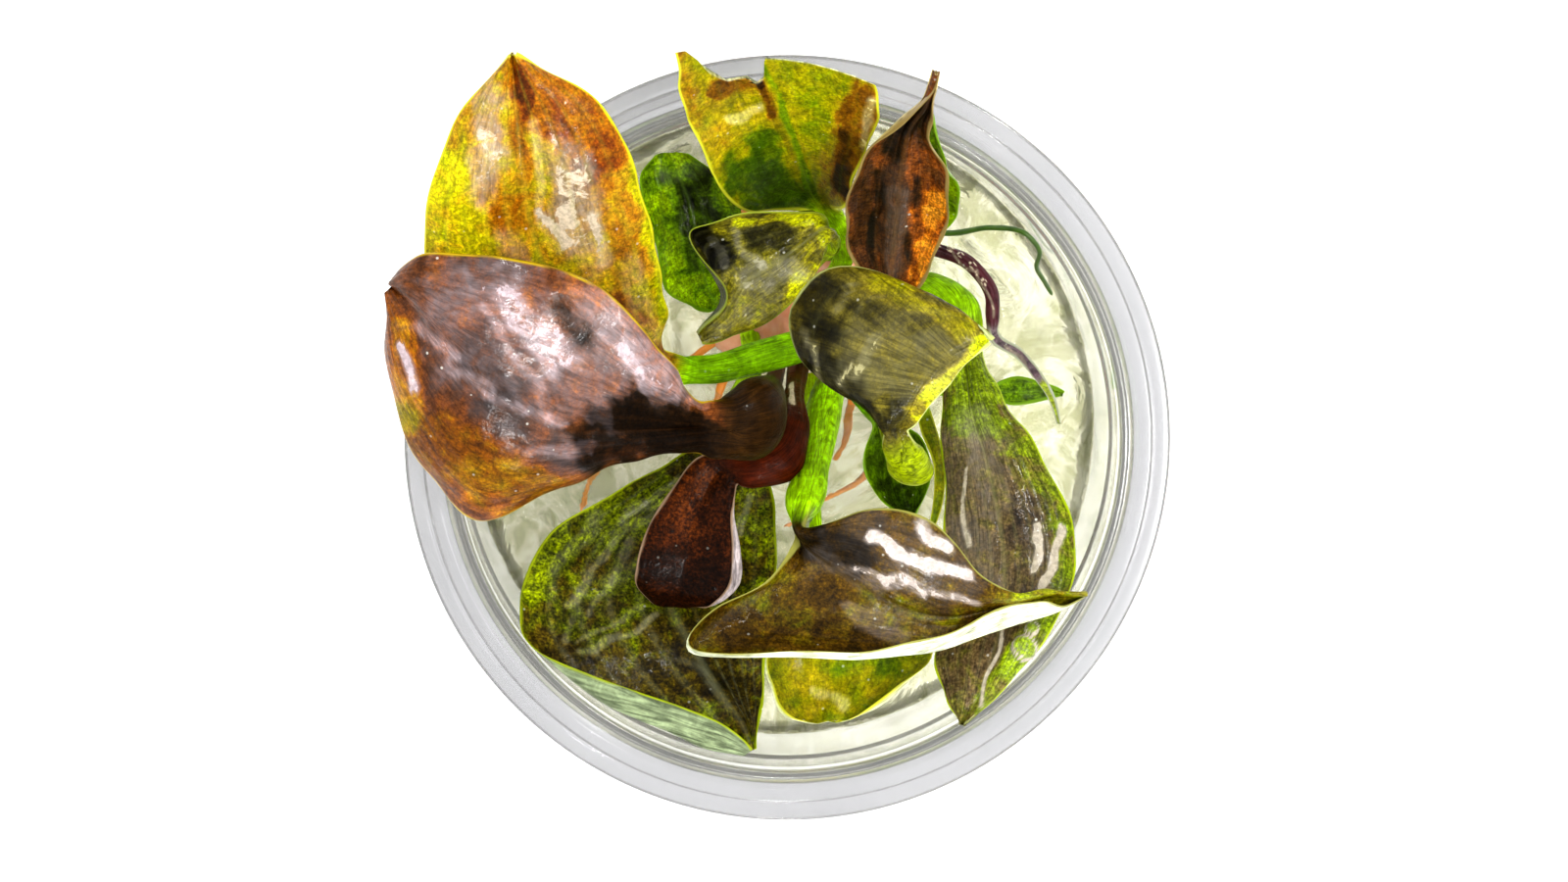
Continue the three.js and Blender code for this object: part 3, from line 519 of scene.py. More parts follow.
def beaded(seen, drops):
    """Height of the drops on a leaf, each the upper half of a ball [x, y, radius] that is pressed to
    DROP_HEIGHT of its radius, and a mark that is 1 on a drop and 2 in the ring round its edge."""
    height = np.zeros(seen.shape[:-1])
    beads = np.zeros(seen.shape[:-1])
    for x, y, radius in drops:
        away = np.linalg.norm(seen - [x, y], axis=-1) / radius
        height += DROP_HEIGHT * radius * np.sqrt(np.maximum(1 - away ** 2, 0))
        beads = np.maximum(beads, smooth_step(1.15, 0.95, away) * (1 + smooth_step(0.6, 0.95, away)))
    return height, beads


def stroke(seen, start, end, radius, seed):
    """How strongly a stroke from start to end marks each seen point: 1 on its line and 0 past 1.35 radii.
    Noise of 7 mm bends the line, and noise of 3, 1.2 and 0.6 mm makes its edge ragged."""
    start, end = np.array(start, float), np.array(end, float)
    seen = seen + 0.7 * np.stack([waves(seen, 7, seed + 3), waves(seen, 7, seed + 4)], -1)
    run = end - start
    t = np.clip(((seen - start) @ run) / max(run @ run, 1e-9), 0, 1)
    away = np.linalg.norm(seen - start - t[..., None] * run, axis=-1) / radius
    ragged = 0.26 * waves(seen, 3.2, seed) + 0.2 * waves(seen, 1.2, seed + 1, 16)
    ragged += 0.1 * waves(seen, 0.6, seed + 2, 24)
    return 1 - smooth_step(0.5, 1.35, away + ragged)


def painted(sheet, seen, flush, wet, strokes, beads, seed):
    """The flush, shade, painted sheen and gloss of each point. The painted sheen stands in for the lamps'
    reflection in the wet skin, and the shade is partly the tissue's own tone and partly painted light and
    shade. The flush varies with noise of 9 and 3.5 mm. Each stroke [x, y, end x, end y, radius, flush,
    shade, painted sheen, gloss] adds its last numbers to them, as far as they go. A drop is greener,
    painted lighter and glossy, with a painted highlight in a ring round its edge."""
    tone = flush + 0.06 * waves(sheet, 9, seed + 5) + 0.06 * waves(sheet, 3.5, seed + 6)
    marks = np.stack([tone, FULL_SHADE + 0 * tone, 0 * tone, wet + 0 * tone])
    for k, (x, y, end_x, end_y, radius, *changes) in enumerate(strokes):
        mark = stroke(seen, (x, y), (end_x, end_y), radius, seed + 20 + 5 * k)
        marks[:len(changes)] += np.array(changes)[:, None, None] * mark
    marks += beads * DROP_CHANGES[:, None, None]
    marks[2] += DROP_RING_HIGHLIGHT * np.maximum(beads - 1, 0)
    return marks


def both(upper, lower):
    """The two sides of a leaf as one ring for each row: the upper side from left to right, and then the
    lower side from right to left, without the edge columns that the sides share."""
    return np.concatenate([upper, lower[:, -2:0:-1]], 1)


def grow_leaf(name, petiole, blade, skin, camber=(0, 0), rolls=(0, 0), hinge=0.72, torn=None,
              columns=WIDE_COLUMNS, seed=0, swell=0.35, ruffle=0.3, film=1.0, crease=1.0, flush=0.5,
              wet=0.7, strokes=(), drops=()):
    """A closed leaf: the middle sheet, swelled and ruffled, moved up and down by half its thickness along
    its normal. Across, the blade's edges are nearly square and the petiole is oval. A channel runs down
    the midrib over a keel, four veins to each half are pressed in, ribs run down the petiole, and the
    film of water and the drops stand on the upper side. Relief fades in over BLADE_FOOT of the blade's
    length, and out over SOFT_EDGE of its half width. Each point stores where it lies, and its marks."""
    sheet, thickness, onward, v, stalk, at, width = leaf_sheet(
        petiole, blade, camber, rolls, hinge, torn, columns)
    away = np.abs(v)
    free = 1 - stalk
    body = free * smooth_step(0, BLADE_FOOT, onward)
    sheet = swelled(sheet, v, at, body, swell, ruffle, seed)
    normal = sheet_normal(sheet)
    seen = drawn(sheet)

    channel = crease * np.exp(-(v / CHANNEL_WIDTH) ** 2) * free * (1 - 0.75 * onward)
    veins = sum(np.exp(-((away - place) / VEIN_WIDTH) ** 2) for place in VEIN_PLACES) * free
    ribs = np.cos(v * math.pi * 3.5) * stalk * smooth_step(1, 0.8, away) * smooth_step(4, 2.5, thickness)
    drop_height, beads = beaded(seen, drops)
    water = film * water_film(sheet, v, at, body, seed) + drop_height
    flat = np.clip(1 - away ** 10, 0, 1) ** 0.5
    oval = np.sqrt(np.clip(1 - v * v, 0, 1))
    half = thickness / 2 * (flat * free + oval * stalk) * (1 - 0.5 * onward ** 6)
    soft_edge = smooth_step(0, SOFT_EDGE, 1 - away)
    over = half + (water - CHANNEL_DEPTH * channel - VEIN_DEPTH * veins + PETIOLE_RIB * ribs) * soft_edge
    below = half + (KEEL_DEPTH * channel + VEIN_DEPTH * veins + PETIOLE_RIB * ribs) * soft_edge
    rings = both(sheet + normal * over[..., None], sheet - normal * below[..., None])

    tone, shade, bloom, gloss = painted(sheet, seen, flush, wet, strokes, beads, seed)
    from_edge = (1 - away) * width + 0.1 * waves(sheet, 5, seed + 7)
    upper = {
        "flush": tone, "shade": shade, "bloom": bloom, "gloss": gloss * (1 - 0.6 * stalk), "stalk": stalk,
        "margin": smooth_step(RIM_LINE, 0.5 * RIM_LINE, from_edge) * free, "rib": channel,
        "vein": veins * (1 - away * 0.5), "under": 0 * v, "across": v * 8, "along": at}
    lower = {**upper, "bloom": 0 * v, "under": 0 * v + 1}
    values = {key: both(upper[key], lower[key]).ravel() for key in STORED}
    return new_piece(name, *wrapped(rings), skin, values)


def skin_levels(skin, mottle, fleck, lines, veined, run):
    """The numbers that a leaf's skin is mixed from, by name: what its points store, the noises of its
    tissue from 3 to 0.35 mm, the net of its small veins 0.8 mm apart, streaks that run along it or across
    it as run says, and scattered dots 1.7 mm apart, then what these make when they are scaled and
    multiplied. Mottle, fleck, lines and veined say how strongly four of them show."""
    level = {key: node(skin, "ShaderNodeAttribute", attribute_name=key).outputs["Fac"] for key in STORED}
    place_in = node(skin, "ShaderNodeTexCoord").outputs["Object"]
    grain = node(skin, "ShaderNodeCombineXYZ", {"X": level["across"], "Y": level["along"]})
    squeezed = node(skin, "ShaderNodeVectorMath", {0: grain.outputs[0], 1: (*run, 1.0)},
                    operation="MULTIPLY")
    level["streaks"] = node(skin, "ShaderNodeTexNoise", {
        "Vector": squeezed.outputs[0], "Scale": 3.0, "Detail": 3.0, "Distortion": 1.0}).outputs["Fac"]
    # The noises of the tissue, by their size in millimetres, detail, roughness and distortion
    for key, size, detail, roughness, distortion in (
            ("coarse", 3, 5.0, 0.65, 0.8), ("patches", 2.2, 4.0, 0.7, 1.5),
            ("fine", 0.8, 3.0, 0.75, 0.0), ("specks", 0.35, 1.0, 0.5, 0.0)):
        level[key] = node(skin, "ShaderNodeTexNoise", {
            "Vector": place_in, "Scale": 1000 / size, "Detail": detail, "Roughness": roughness,
            "Distortion": distortion}).outputs["Fac"]
    level["net"] = node(skin, "ShaderNodeTexVoronoi", {
        "Vector": place_in, "Scale": 1000 / 0.8}, feature="DISTANCE_TO_EDGE").outputs["Distance"]
    dots = node(skin, "ShaderNodeTexVoronoi", {"Vector": place_in, "Scale": 1000 / 1.7})
    level["dot"] = dots.outputs["Distance"]
    level["pick"] = dots.outputs["Color"]
    # One level times a number, plus another
    for key, first, factor, last in (
            ("spread", "fine", 0.15, "coarse"), ("islands", "patches", 1.8, "bloom"),
            ("blade", "stalk", -1.0, 1.0)):
        inputs = {0: level[first], 1: factor, 2: level.get(last, last)}
        level[key] = node(skin, "ShaderNodeMath", inputs, operation="MULTIPLY_ADD").outputs[0]
    # A level between two values, spread over two others
    for key, source, low, high, to_low, to_high in (
            ("mottled", "spread", 0.42, 0.74, -mottle, mottle),
            ("flecked", "fine", 0.4, 0.6, 1 - fleck, 1 + fleck),
            ("lined", "streaks", 0.36, 0.64, 1 - lines, 1 + lines),
            ("blotched", "patches", 0.38, 0.62, 0.72, 1.28),
            ("netted", "net", 0.0, 0.12, 0.72, 1.0),
            ("speckled", "specks", 0.34, 0.66, 1 - fleck, 1 + 1.4 * fleck),
            ("long_fibres", "streaks", 0.35, 0.65, 0.45, 1.35),
            ("coarse_fibres", "coarse", 0.38, 0.62, 0.75, 1.3),
            ("patchy_fibres", "patches", 0.38, 0.62, 0.85, 1.12),
            # The next four levels shape the painted sheen and its painted glints.
            ("cloudy", "coarse", 0.36, 0.6, 0.36, 0.792),
            ("streaky", "streaks", 0.35, 0.65, 0.56, 1.06),
            ("glint", "islands", 1.78, 1.92, 0.0, 0.9),
            ("sparkle", "fine", 0.4, 0.6, 0.95, 1.45),
            # Round and few pick a few dots that are painted white, as the glints of tiny water drops.
            ("round", "dot", 0.08, 0.13, 1.0, 0.0),
            ("few", "pick", 0.7, 0.72, 0.0, 0.72),
            ("vein_patches", "patches", 0.4, 0.6, 0.2 * veined, veined)):
        inputs = {"Value": level[source], 1: low, 2: high, 3: to_low, 4: to_high}
        level[key] = node(skin, "ShaderNodeMapRange", inputs).outputs[0]
    # The product of several levels
    for key, *factors in (
            ("depth", "shade", "flecked", "lined", "blotched", "netted", "speckled"),
            ("fibres", "long_fibres", "coarse_fibres", "patchy_fibres"),
            ("film", "bloom", "cloudy"), ("sheen_brightness", "streaky", "shade"),
            ("painted_drop_glints", "round", "few", "gloss"), ("veins", "vein", "vein_patches"),
            ("midrib", "rib", 0.5), ("underside", "blade", "under")):
        level[key] = level[factors[0]]
        for factor in factors[1:]:
            inputs = {0: level[key], 1: level.get(factor, factor)}
            level[key] = node(skin, "ShaderNodeMath", inputs, operation="MULTIPLY").outputs[0]
    return level


def leaf_skin(name, tones, rim="#C8C81E", rib="#7E9A10", petiole="#7CA606", under="#C8CC9A",
              bloom="#B8A890", mottle=0.25, fleck=0.3, lines=0.2, veined=0.15, run=(1.0, 0.12)):
    """A wet leaf's skin. The flush, broken up by mottles, picks a colour on the ramp of tones, and the
    depth, the tissue's grain times the shade, darkens or lightens it; in places the shade holds painted
    light and shade. Over it lie, in turn, the petiole, a painted sheen that stands in for the lamps'
    reflection in the water, its painted glints, the painted glints of small drops, the veins, the midrib,
    the paler underside and the rim. All of it is under a coat of water, whose weight is the gloss and
    whose ripples are coarser than the tissue's grain."""
    skin, shader = new_material(name)
    level = skin_levels(skin, mottle, fleck, lines, veined, run)
    tone = node(skin, "ShaderNodeMath", {0: level["flush"], 1: level["mottled"]}, operation="ADD")
    ramp = node(skin, "ShaderNodeValToRGB", {"Fac": tone.outputs[0]})
    stops = ramp.color_ramp.elements
    for k, tint in enumerate(tones):
        at = k / (len(tones) - 1)
        stop = stops[k] if k < 2 else stops.new(at)
        stop.position = at
        stop.color = linear(tint)
    colour = node(skin, "ShaderNodeVectorMath", {
        0: ramp.outputs["Color"], "Scale": level["depth"]}, operation="SCALE").outputs[0]
    # The layers over the blade's own colour: how far each covers it, its tint, and the tint's brightness.
    # The film and glint layers are the painted sheen and its painted glints.
    for cover, tint, strength in (
            ("stalk", petiole, "fibres"), ("film", bloom, "sheen_brightness"), ("glint", bloom, "sparkle"),
            ("painted_drop_glints", "#F0F0E4", 1.0), ("veins", rib, 1.0), ("midrib", rib, 1.0),
            ("underside", under, "fibres"), ("margin", rim, 1.0)):
        inputs = {0: linear(tint)[:3], "Scale": level.get(strength, strength)}
        layer = node(skin, "ShaderNodeVectorMath", inputs, operation="SCALE").outputs[0]
        inputs = {0: level[cover], 6: colour, 7: layer}
        colour = node(skin, "ShaderNodeMix", inputs, data_type="RGBA").outputs[2]

    cells = node(skin, "ShaderNodeBump", {"Height": level["net"], "Strength": 0.5, "Distance": 0.00012})
    grained = node(skin, "ShaderNodeBump", {
        "Height": level["fine"], "Strength": 0.5, "Distance": 0.0003, "Normal": cells.outputs["Normal"]})
    water = node(skin, "ShaderNodeBump", {"Height": level["coarse"], "Strength": 0.4, "Distance": 0.0005})
    shader.inputs["Roughness"].default_value = 0.45
    shader.inputs["Specular IOR Level"].default_value = 0.04
    shader.inputs["Coat Roughness"].default_value = 0.035
    shader.inputs["Coat IOR"].default_value = 1.36
    skin.node_tree.links.new(colour, shader.inputs["Base Color"])
    skin.node_tree.links.new(level["gloss"], shader.inputs["Coat Weight"])
    skin.node_tree.links.new(grained.outputs["Normal"], shader.inputs["Normal"])
    skin.node_tree.links.new(water.outputs["Normal"], shader.inputs["Coat Normal"])
    return skin


def fix_leaf(leaf, cad_node):
    """Puts a leaf in place of its solid, on the part's one body."""
    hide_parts(cad_node)
    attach(leaf, "root")


olive_skin = leaf_skin(
    "wet_leaf_olive_brown", ["#9C9E00", "#B8A80A", "#C09014", "#AC6A06", "#843F04", "#4E2804"],
    rim="#D6D020", rib="#9CA030", under="#C8BE70", bloom="#BCAE98", petiole="#8CC404", mottle=0.15,
    fleck=0.2, veined=0.3)
upper_left = grow_leaf(
    "leaf_upper_left_olive",
    [[5.8, 13.6, 21, 3], [4.4, 12.8, 32, 4], [0.8, 11.7, 41, 4.8], [-4.5, 10.3, 46.6, 4.6],
     [-9.4, 9, 50.4, 4], [-13, 8.8, 52.6, 3.8]],
    [[[-17.5, 6.6, 54], [-16.8, 9, 55], [-15.8, 11.5, 55]],
     [[-26, 5.5, 58], [-21.5, 11, 60], [-15.4, 15, 60]],
     [[-36.5, 8.5, 63], [-27, 15.5, 66], [-16, 20, 66]],
     [[-43.5, 15.5, 68], [-31, 22, 71], [-17, 26, 71]],
     [[-46.3, 24, 72], [-33, 29, 75], [-18.8, 32, 75]],
     [[-45.2, 33, 77], [-34, 35.5, 79], [-20.8, 38, 79]],
     [[-42.6, 40, 80], [-34.5, 41, 81.5], [-24.5, 43.3, 81.5]],
     [[-39.2, 45, 82.5], [-34.9, 45.7, 83], [-30, 47, 83]],
     [[-35.6, 49.2, 84], [-35.1, 49.4, 84], [-34.5, 49.3, 84]]],
    olive_skin, camber=(1.5, 1.5), seed=100, flush=0.31, wet=0.4,
    # Strokes with a sheen value paint a tan sheen and white glints where the lamps reflect in the wet blade.
    strokes=[
        [-32, 46, -24, 37, 4.2, 0.4, 0], [-23, 33, -20, 24, 2.5, 0.12, 0.05],
        [-38, 43, -38.6, 32, 2, 0.1, 0, 0.75], [-27.6, 33.6, -27, 27, 3.2, 0.15, 0, 0.6, 0.3],
        [-29, 36, -27, 31, 3.0, 0, -0.05, 0.36], [-28, 27, -24, 22, 1.6, 0, 0.1, 0.24],
        [-24.6, 29, -23.2, 22.6, 1.1, 0, 0.3, 0.5], [-21.6, 24, -18.6, 12, 1.8, 0.06, -0.22],
        [-20.6, 38, -17.4, 28, 0.8, -0.3, 0.2], [-17.2, 28, -16, 16, 0.9, -0.3, 0.3],
        [-32.4, 40, -31.4, 28, 0.7, 0, 0.3, 0.45], [-39, 38.4, -36.6, 36.6, 0.9, 0, 0.2, 0.2, 0.4],
        [-29, 29.6, -27.6, 27, 0.6, 0, 0.3, 0.5, 0.3], [-31, 29, -29, 25, 0.7, 0, 0.2, 0.9, 0.4],
        [-37, 31, -30, 17, 2.6, 0.15, 0], [-36, 26, -33, 20, 1.4, 0.1, 0.1, 0.5],
        [-34, 47, -34, 34, 1.1, 0.25, -0.1], [-43, 33, -40, 17, 3.6, -0.16, 0.5],
        [-22, 16, -18, 9, 3, 0.35, -0.15], [-31, 22, -27, 15, 1.6, -0.4, -0.1],
        [-20, 22, -17.5, 12, 1.6, -0.05, 0.15, 0.3]])
fix_leaf(upper_left, "leaf_upper_left")

# The broad leaf at the left stands highest of all, folded along its midrib so that its upper half lies
# level. It is purple-brown, and where it lies level a mauve sheen with white glints is painted on it, for
# the lamps' reflection in its wet skin.
purple_skin = leaf_skin(
    "wet_leaf_purple_brown", ["#B4A010", "#B88408", "#985804", "#74401A", "#4A2A10", "#201204"],
    rim="#B89A10", rib="#4A2C10", petiole="#2E1C06", under="#B8A060", bloom="#AE9EA2", mottle=0.12,
    fleck=0.16, lines=0.3)
broad_left = grow_leaf(
    "leaf_broad_left_purple",
    [[-1, 10.8, 21, 2.8], [-1.6, 8, 36, 3], [-2.4, 5.8, 51, 4.2], [-3.1, 4.2, 64.5, 8],
     [-4.9, 2.4, 71.5, 10.4], [-8, 1.5, 73.5, 8]],
    [[[-11.5, -1.7, 74], [-11.5, 1.6, 75.5], [-11.2, 4.9, 75]],
     [[-17, -1.8, 75], [-17.5, 1.2, 78], [-14.5, 9.3, 79]],
     [[-24, -4, 75.5], [-24.5, 0.8, 80.5], [-18.5, 14.3, 82]],
     [[-31, -7.3, 75.5], [-30.5, 0.9, 82.5], [-24, 19.5, 83.5]],
     [[-39.8, -10.2, 74.5], [-35.5, 4, 84.5], [-31, 22.3, 84.5]],
     [[-46, -4.6, 74.5], [-40.5, 7.5, 85.5], [-38, 23.5, 85]],
     [[-50, 3.8, 75.5], [-44.3, 12, 85], [-44.5, 23.8, 84.5]],
     [[-50.8, 11.5, 77], [-47, 16, 83], [-48, 23, 82.5]],
     [[-50.3, 18.2, 79], [-49.9, 19.4, 79.5], [-50, 20.4, 79.5]]],
    purple_skin, camber=(1.5, 1), seed=200, flush=0.65, wet=0.6, crease=0.4,
    # Strokes with a sheen value paint the mauve sheen, its silky streaks and glints; some also raise the
    # shade there as painted light.
    strokes=[
        [-47, 1, -32, -7, 4, -0.27, -0.34, 0, -0.3], [-49.5, 14, -48, 2, 2, -0.33, 0.05, 0, -0.2],
        [-23, 0.6, -4, 1.6, 4.4, 0.36, -0.2, -0.3, -0.6], [-19, 4, -14, 1, 3, 0.2, -0.2, -0.5, -0.4],
        [-12, 4.4, -8, 3.4, 1.2, -0.35, 0.3, 0.2], [-41, -5, -37, -9, 2.6, -0.1, 0.1],
        [-37, -3, -27, -5, 1.2, -0.2, 0.1], [-40, 16, -20, 6, 7, 0, 0, 0.42, 0.2],
        [-24, 18, -14, 6, 3.8, 0, 0.5, 0.3, 0.3], [-36, 18, -29, 10, 2.2, 0, 0.4, 0.5, 0.5],
        [-44, 18, -34, 22, 3, 0.1, 0.1, 0.2], [-46.3, 14.4, -42.7, 9.7, 0.8, 0, 0.5, 0.35, 0.3],
        [-42.7, 9.7, -38.6, 6.1, 0.8, 0, 0.5, 0.3, 0.3], [-38.6, 6.1, -30.4, 2.5, 0.8, 0, 0.4, 0.25, 0.3],
        [-38.6, 16.4, -29, 2, 0.6, 0, 0.4, 0.2, 0.3], [-42, 8, -28, -2, 3, 0.1, 0, 0.2],
        [-21, 12, -18.6, 7, 0.8, 0, 0.3, 0.4, 0.4], [-48.4, 12, -47.6, 7, 0.7, 0, 0.2, 1.3],
        [-40, 12, -36, 4, 3.4, 0.18, -0.1], [-29, 17, -26, 13, 1.4, 0.2, -0.1, -0.4, -0.3],
        [-35, -4, -25, -3, 0.8, 0.1, -0.15], [-33, -1.5, -25, -1.5, 0.6, -0.1, 0.1, 0.4]])
fix_leaf(broad_left, "leaf_broad_left")

# The dark red tongue under the broad leaf comes over the top on its own dark petiole. Its right-hand
# margin is rolled up, so the paler underside shows there.
dark_skin = leaf_skin(
    "wet_leaf_dark_red", ["#A8601A", "#7A400A", "#542806", "#381804", "#240E02", "#120602"],
    rim="#9A8068", rib="#3A1C0A", petiole="#461804", under="#B4A8A8", mottle=0.08, fleck=0.5, lines=0.05)
dark_tongue = grow_leaf(
    "leaf_dark_tongue_red",
    [[2.2, 12.2, 21, 2.6], [1.8, 11, 29, 2.8], [1.2, 8.4, 38, 3], [0.8, 5.2, 49, 3],
     [0.4, 1, 56, 5], [-1.4, -2.4, 58.4, 7], [-5, -3.6, 59, 5.4]],
    [[[-6.4, -5.8, 59], [-8.6, -4, 58.6], [-11, -2, 58.6]],
     [[-6.2, -9.6, 59.6], [-11, -8, 58.6], [-14.6, -6, 58.4]],
     [[-4.6, -14.4, 59.6], [-12.4, -12.4, 58], [-17.8, -11, 58]],
     [[-4.8, -18.8, 58], [-13.2, -16.8, 56.6], [-19.3, -15.8, 57]],
     [[-8.4, -20.9, 55.6], [-14.2, -19.8, 54.8], [-19.3, -19, 55]],
     [[-12.2, -21.4, 53], [-14.4, -21.3, 53], [-17.4, -21.1, 53]]],
    dark_skin, camber=(0.3, 0.3), crease=0.15, hinge=[0.8, 0.78, 0.76, 0.76, 0.8, 0.8],
    rolls=[(0, 0), (120, 0), (168, 0), (172, 0), (160, 0), (0, 0)],
    columns=NARROW_COLUMNS, seed=300, swell=0.1, ruffle=0.1, flush=0.62, wet=0.15, strokes=[
        [-12, -5, -14, -11, 2.6, -0.12, 0.25], [0.6, -1, -2, -4, 2.2, -0.15, 0.3, 0, 0.2],
        [-17, -18, -9, -18, 4, 0.15, -0.1], [1, 10, 1, 4, 2, 0.2, -0.2, 0, 0.6],
        # This stroke paints a white highlight down the arch of the petiole.
        [-0.4, 6.6, 0.6, 3.2, 0.35, 0, 0.2, 1.3, 0.6]])
fix_leaf(dark_tongue, "leaf_dark_tongue")

# The wide leaf at the lower left is pressed against the wall of the cup. It is green on its left side
# and olive-brown on its right, and the margin along the wall is turned up, pale side out.
green_brown_skin = leaf_skin(
    "wet_leaf_green_brown", ["#8C9A00", "#707C00", "#5C5E04", "#504406", "#3C3004", "#201804"],
    rim="#9AAA10", rib="#8E906A", petiole="#9CC406", under="#7F8C6A", bloom="#A0A080", mottle=0.3, fleck=0.5,
    veined=0.3, lines=0.35)
lower_left = grow_leaf(
    "leaf_lower_left_green",
    [[-4.8, 13.2, 21, 2.8], [-4.6, 9, 28, 2.8], [-6.8, 4, 34, 3.4]],
    [[[-4, -2.4, 38], [-7.8, -1.4, 39], [-12, -0.6, 40]],
     [[-2.1, -6, 42], [-11.2, -7.6, 43], [-21.5, -6.4, 45]],
     [[-1.5, -11, 45], [-14.3, -14, 46.5], [-30.5, -12, 49]],
     [[-1.5, -17, 47.5], [-15, -20.5, 49.5], [-34.2, -20.2, 54]],
     [[-2.2, -24, 50], [-12.4, -25.6, 52], [-33.4, -26, 57]],
     [[-3, -30, 53], [-9.4, -30.2, 54], [-28.4, -32.8, 57.6]],
     [[-3.4, -34.4, 56], [-7.2, -33.6, 56.6], [-20.4, -38.6, 58.6]],
     [[-3.6, -37.2, 57], [-5.6, -36.2, 57.4], [-14.4, -42.4, 58.8]],
     [[-4, -39.6, 58], [-4.5, -39.7, 58], [-7, -41.4, 58.5]]],
    green_brown_skin, camber=(-1, -1.2), seed=400, hinge=[0.8, 0.8, 0.8, 0.8, 0.9, 0.78, 0.6, 0.48, 0.4],
    rolls=[(0, 0)] * 4 + [(0, 60), (0, 150), (0, 165), (0, 150), (0, 150)],
    flush=0.48, wet=0.3, film=1.6, strokes=[
        # Thin strokes with a sheen value paint silver highlights along the wet veins.
        [-30, -13, -18, -8, 4, -0.22, -0.26], [-33, -20, -29, -14, 2, -0.3, 0],
        [-13, -5, -20, -10, 0.7, -0.1, 0.3, 0.4, 0.4], [-14, -7, -22, -13, 0.7, 0, 0.35, 0.42, 0.3],
        [-22, -13, -27.6, -21, 0.6, 0, 0.3, 0.4, 0.3], [-20, -13, -25, -22, 0.5, 0, 0.3, 0.4, 0.3],
        [-27.8, -21, -28, -26, 0.7, 0, 0.1, 0.4], [-26, -27, -17, -22.6, 0.5, 0, 0.4, 0.5, 0.5],
        [-26.4, -26, -19, -21, 0.4, 0, 0.4, 0.4, 0.3], [-21, -10, -13.4, -5.4, 0.4, 0, 0.3, 0.5, 0.3],
        [-27, -25, -20, -19, 3.6, -0.1, -0.3], [-22, -18, -16, -13, 1.2, 0, 0.2, 0.34],
        [-32, -25, -29, -28, 1.6, 0.25, 0.35], [-28, -29, -12, -31, 3, 0.2, 0],
        [-12, -26, -4, -36, 3, 0.35, -0.25], [-5, -8, -3, -18, 3, -0.06, 0.5],
        [-16, -17, -10, -26, 2.4, 0.1, 0.05], [-24, -10, -30, -17, 0.8, 0, 0.1, 0.36],
        [-13, -28, -8, -34, 0.5, 0, 0.2, 0.4], [-5, -7, -6, -12, 0.5, 0, 0.3, 0.5, 0.4]])
fix_leaf(lower_left, "leaf_lower_left")

# The folded leaf lies across the front like a boat, its point out over the rim. Its lower margin rolls
# in, which shows a cream-green band of the underside.
front_skin = leaf_skin(
    "wet_leaf_brown_orange", ["#9CB000", "#84800A", "#6C5808", "#543C06", "#3C2A06", "#1E1404"],
    rim="#98964A", rib="#4A3A18", petiole="#A6DC06", under="#EEF4CC", bloom="#BAAEA6", mottle=0.2)
front_folded = grow_leaf(
    "leaf_front_folded_brown",
    [[6.6, 9.6, 21, 3.4], [5.2, 6.6, 34, 5.2], [4.1, 1.5, 46, 6], [3, -4, 56, 5.4], [2, -9, 63.5, 4.6]],
    [[[2.4, -11.4, 67], [1.4, -12.5, 66.6], [0.5, -13.6, 67]],
     [[5, -10.5, 70], [3.4, -14.6, 68], [-3, -18.2, 69.5]],
     [[9, -9.3, 72], [5.6, -16, 68.6], [-9.6, -21.8, 71.5]],
     [[13, -8.8, 73], [8.6, -17.8, 69], [-14.4, -28, 73.5]],
     [[17.6, -10, 73], [12, -20, 69], [-2.4, -29, 75]],
     [[21.4, -13.2, 72], [16, -21.7, 68.6], [7.4, -29.3, 75]],
     [[24.4, -17.2, 70], [20.5, -22.5, 67.8], [15.6, -29.2, 73]],
     [[29, -19.4, 68], [26.5, -21.4, 66.6], [22.8, -28, 70.4]],
     [[33.8, -19.3, 66.5], [33, -20.2, 65.6], [30.6, -25.2, 67.6]],
     [[38, -19.6, 65.4], [38.3, -20, 65.2], [38.1, -20.4, 65.4]]],
    front_skin, camber=(1.2, -1.8), seed=500, flush=0.5, wet=0.45,
    hinge=[0.8, 0.86, 0.88, 0.86, 0.84, 0.8, 0.66, 0.5, 0.46, 0.6],
    rolls=[(0, 0), (0, 40), (0, 90), (0, 140), (0, 165), (0, 168), (0, 170), (0, 172), (0, 165), (0, 0)],
    # Strokes with a sheen value paint the white highlight strips and a faint sheen on the upper half.
    strokes=[
        [2, -12, 9, -15, 2.4, 0.4, -0.25, 0, -0.2], [11, -13, 22.4, -17.6, 0.9, 0, 0.3, 1.3, 0.65],
        [16.6, -11, 21, -14, 0.9, 0, 0.3, 1.2, 0.65], [14, -17.8, 24, -20.6, 0.5, 0, 0.3, 0.75, 0.4],
        [10, -12, 20, -18, 4.5, 0.15, 0, 0.15], [9, -16.6, 17, -19.6, 0.5, 0, 0.2, 0.8],
        [4, -15, 12, -19, 1.2, 0, 0, 0.3], [0, -27, 8, -27.6, 0.9, 0.1, 0.35],
        [-10, -24, 12, -26, 2.6, 0.1, -0.15, 0, -0.2], [-6, -20, 2, -24, 1.2, -0.15, -0.15],
        [8, -22, 14, -25, 1.2, -0.1, 0.1, 0.3], [0, -17, 8, -20, 2, 0.1, 0.1],
        [10, -20, 22, -23, 1.2, -0.15, -0.2], [30, -20, 38, -20, 2, -0.25, 0.1]])
fix_leaf(front_folded, "leaf_front_folded")
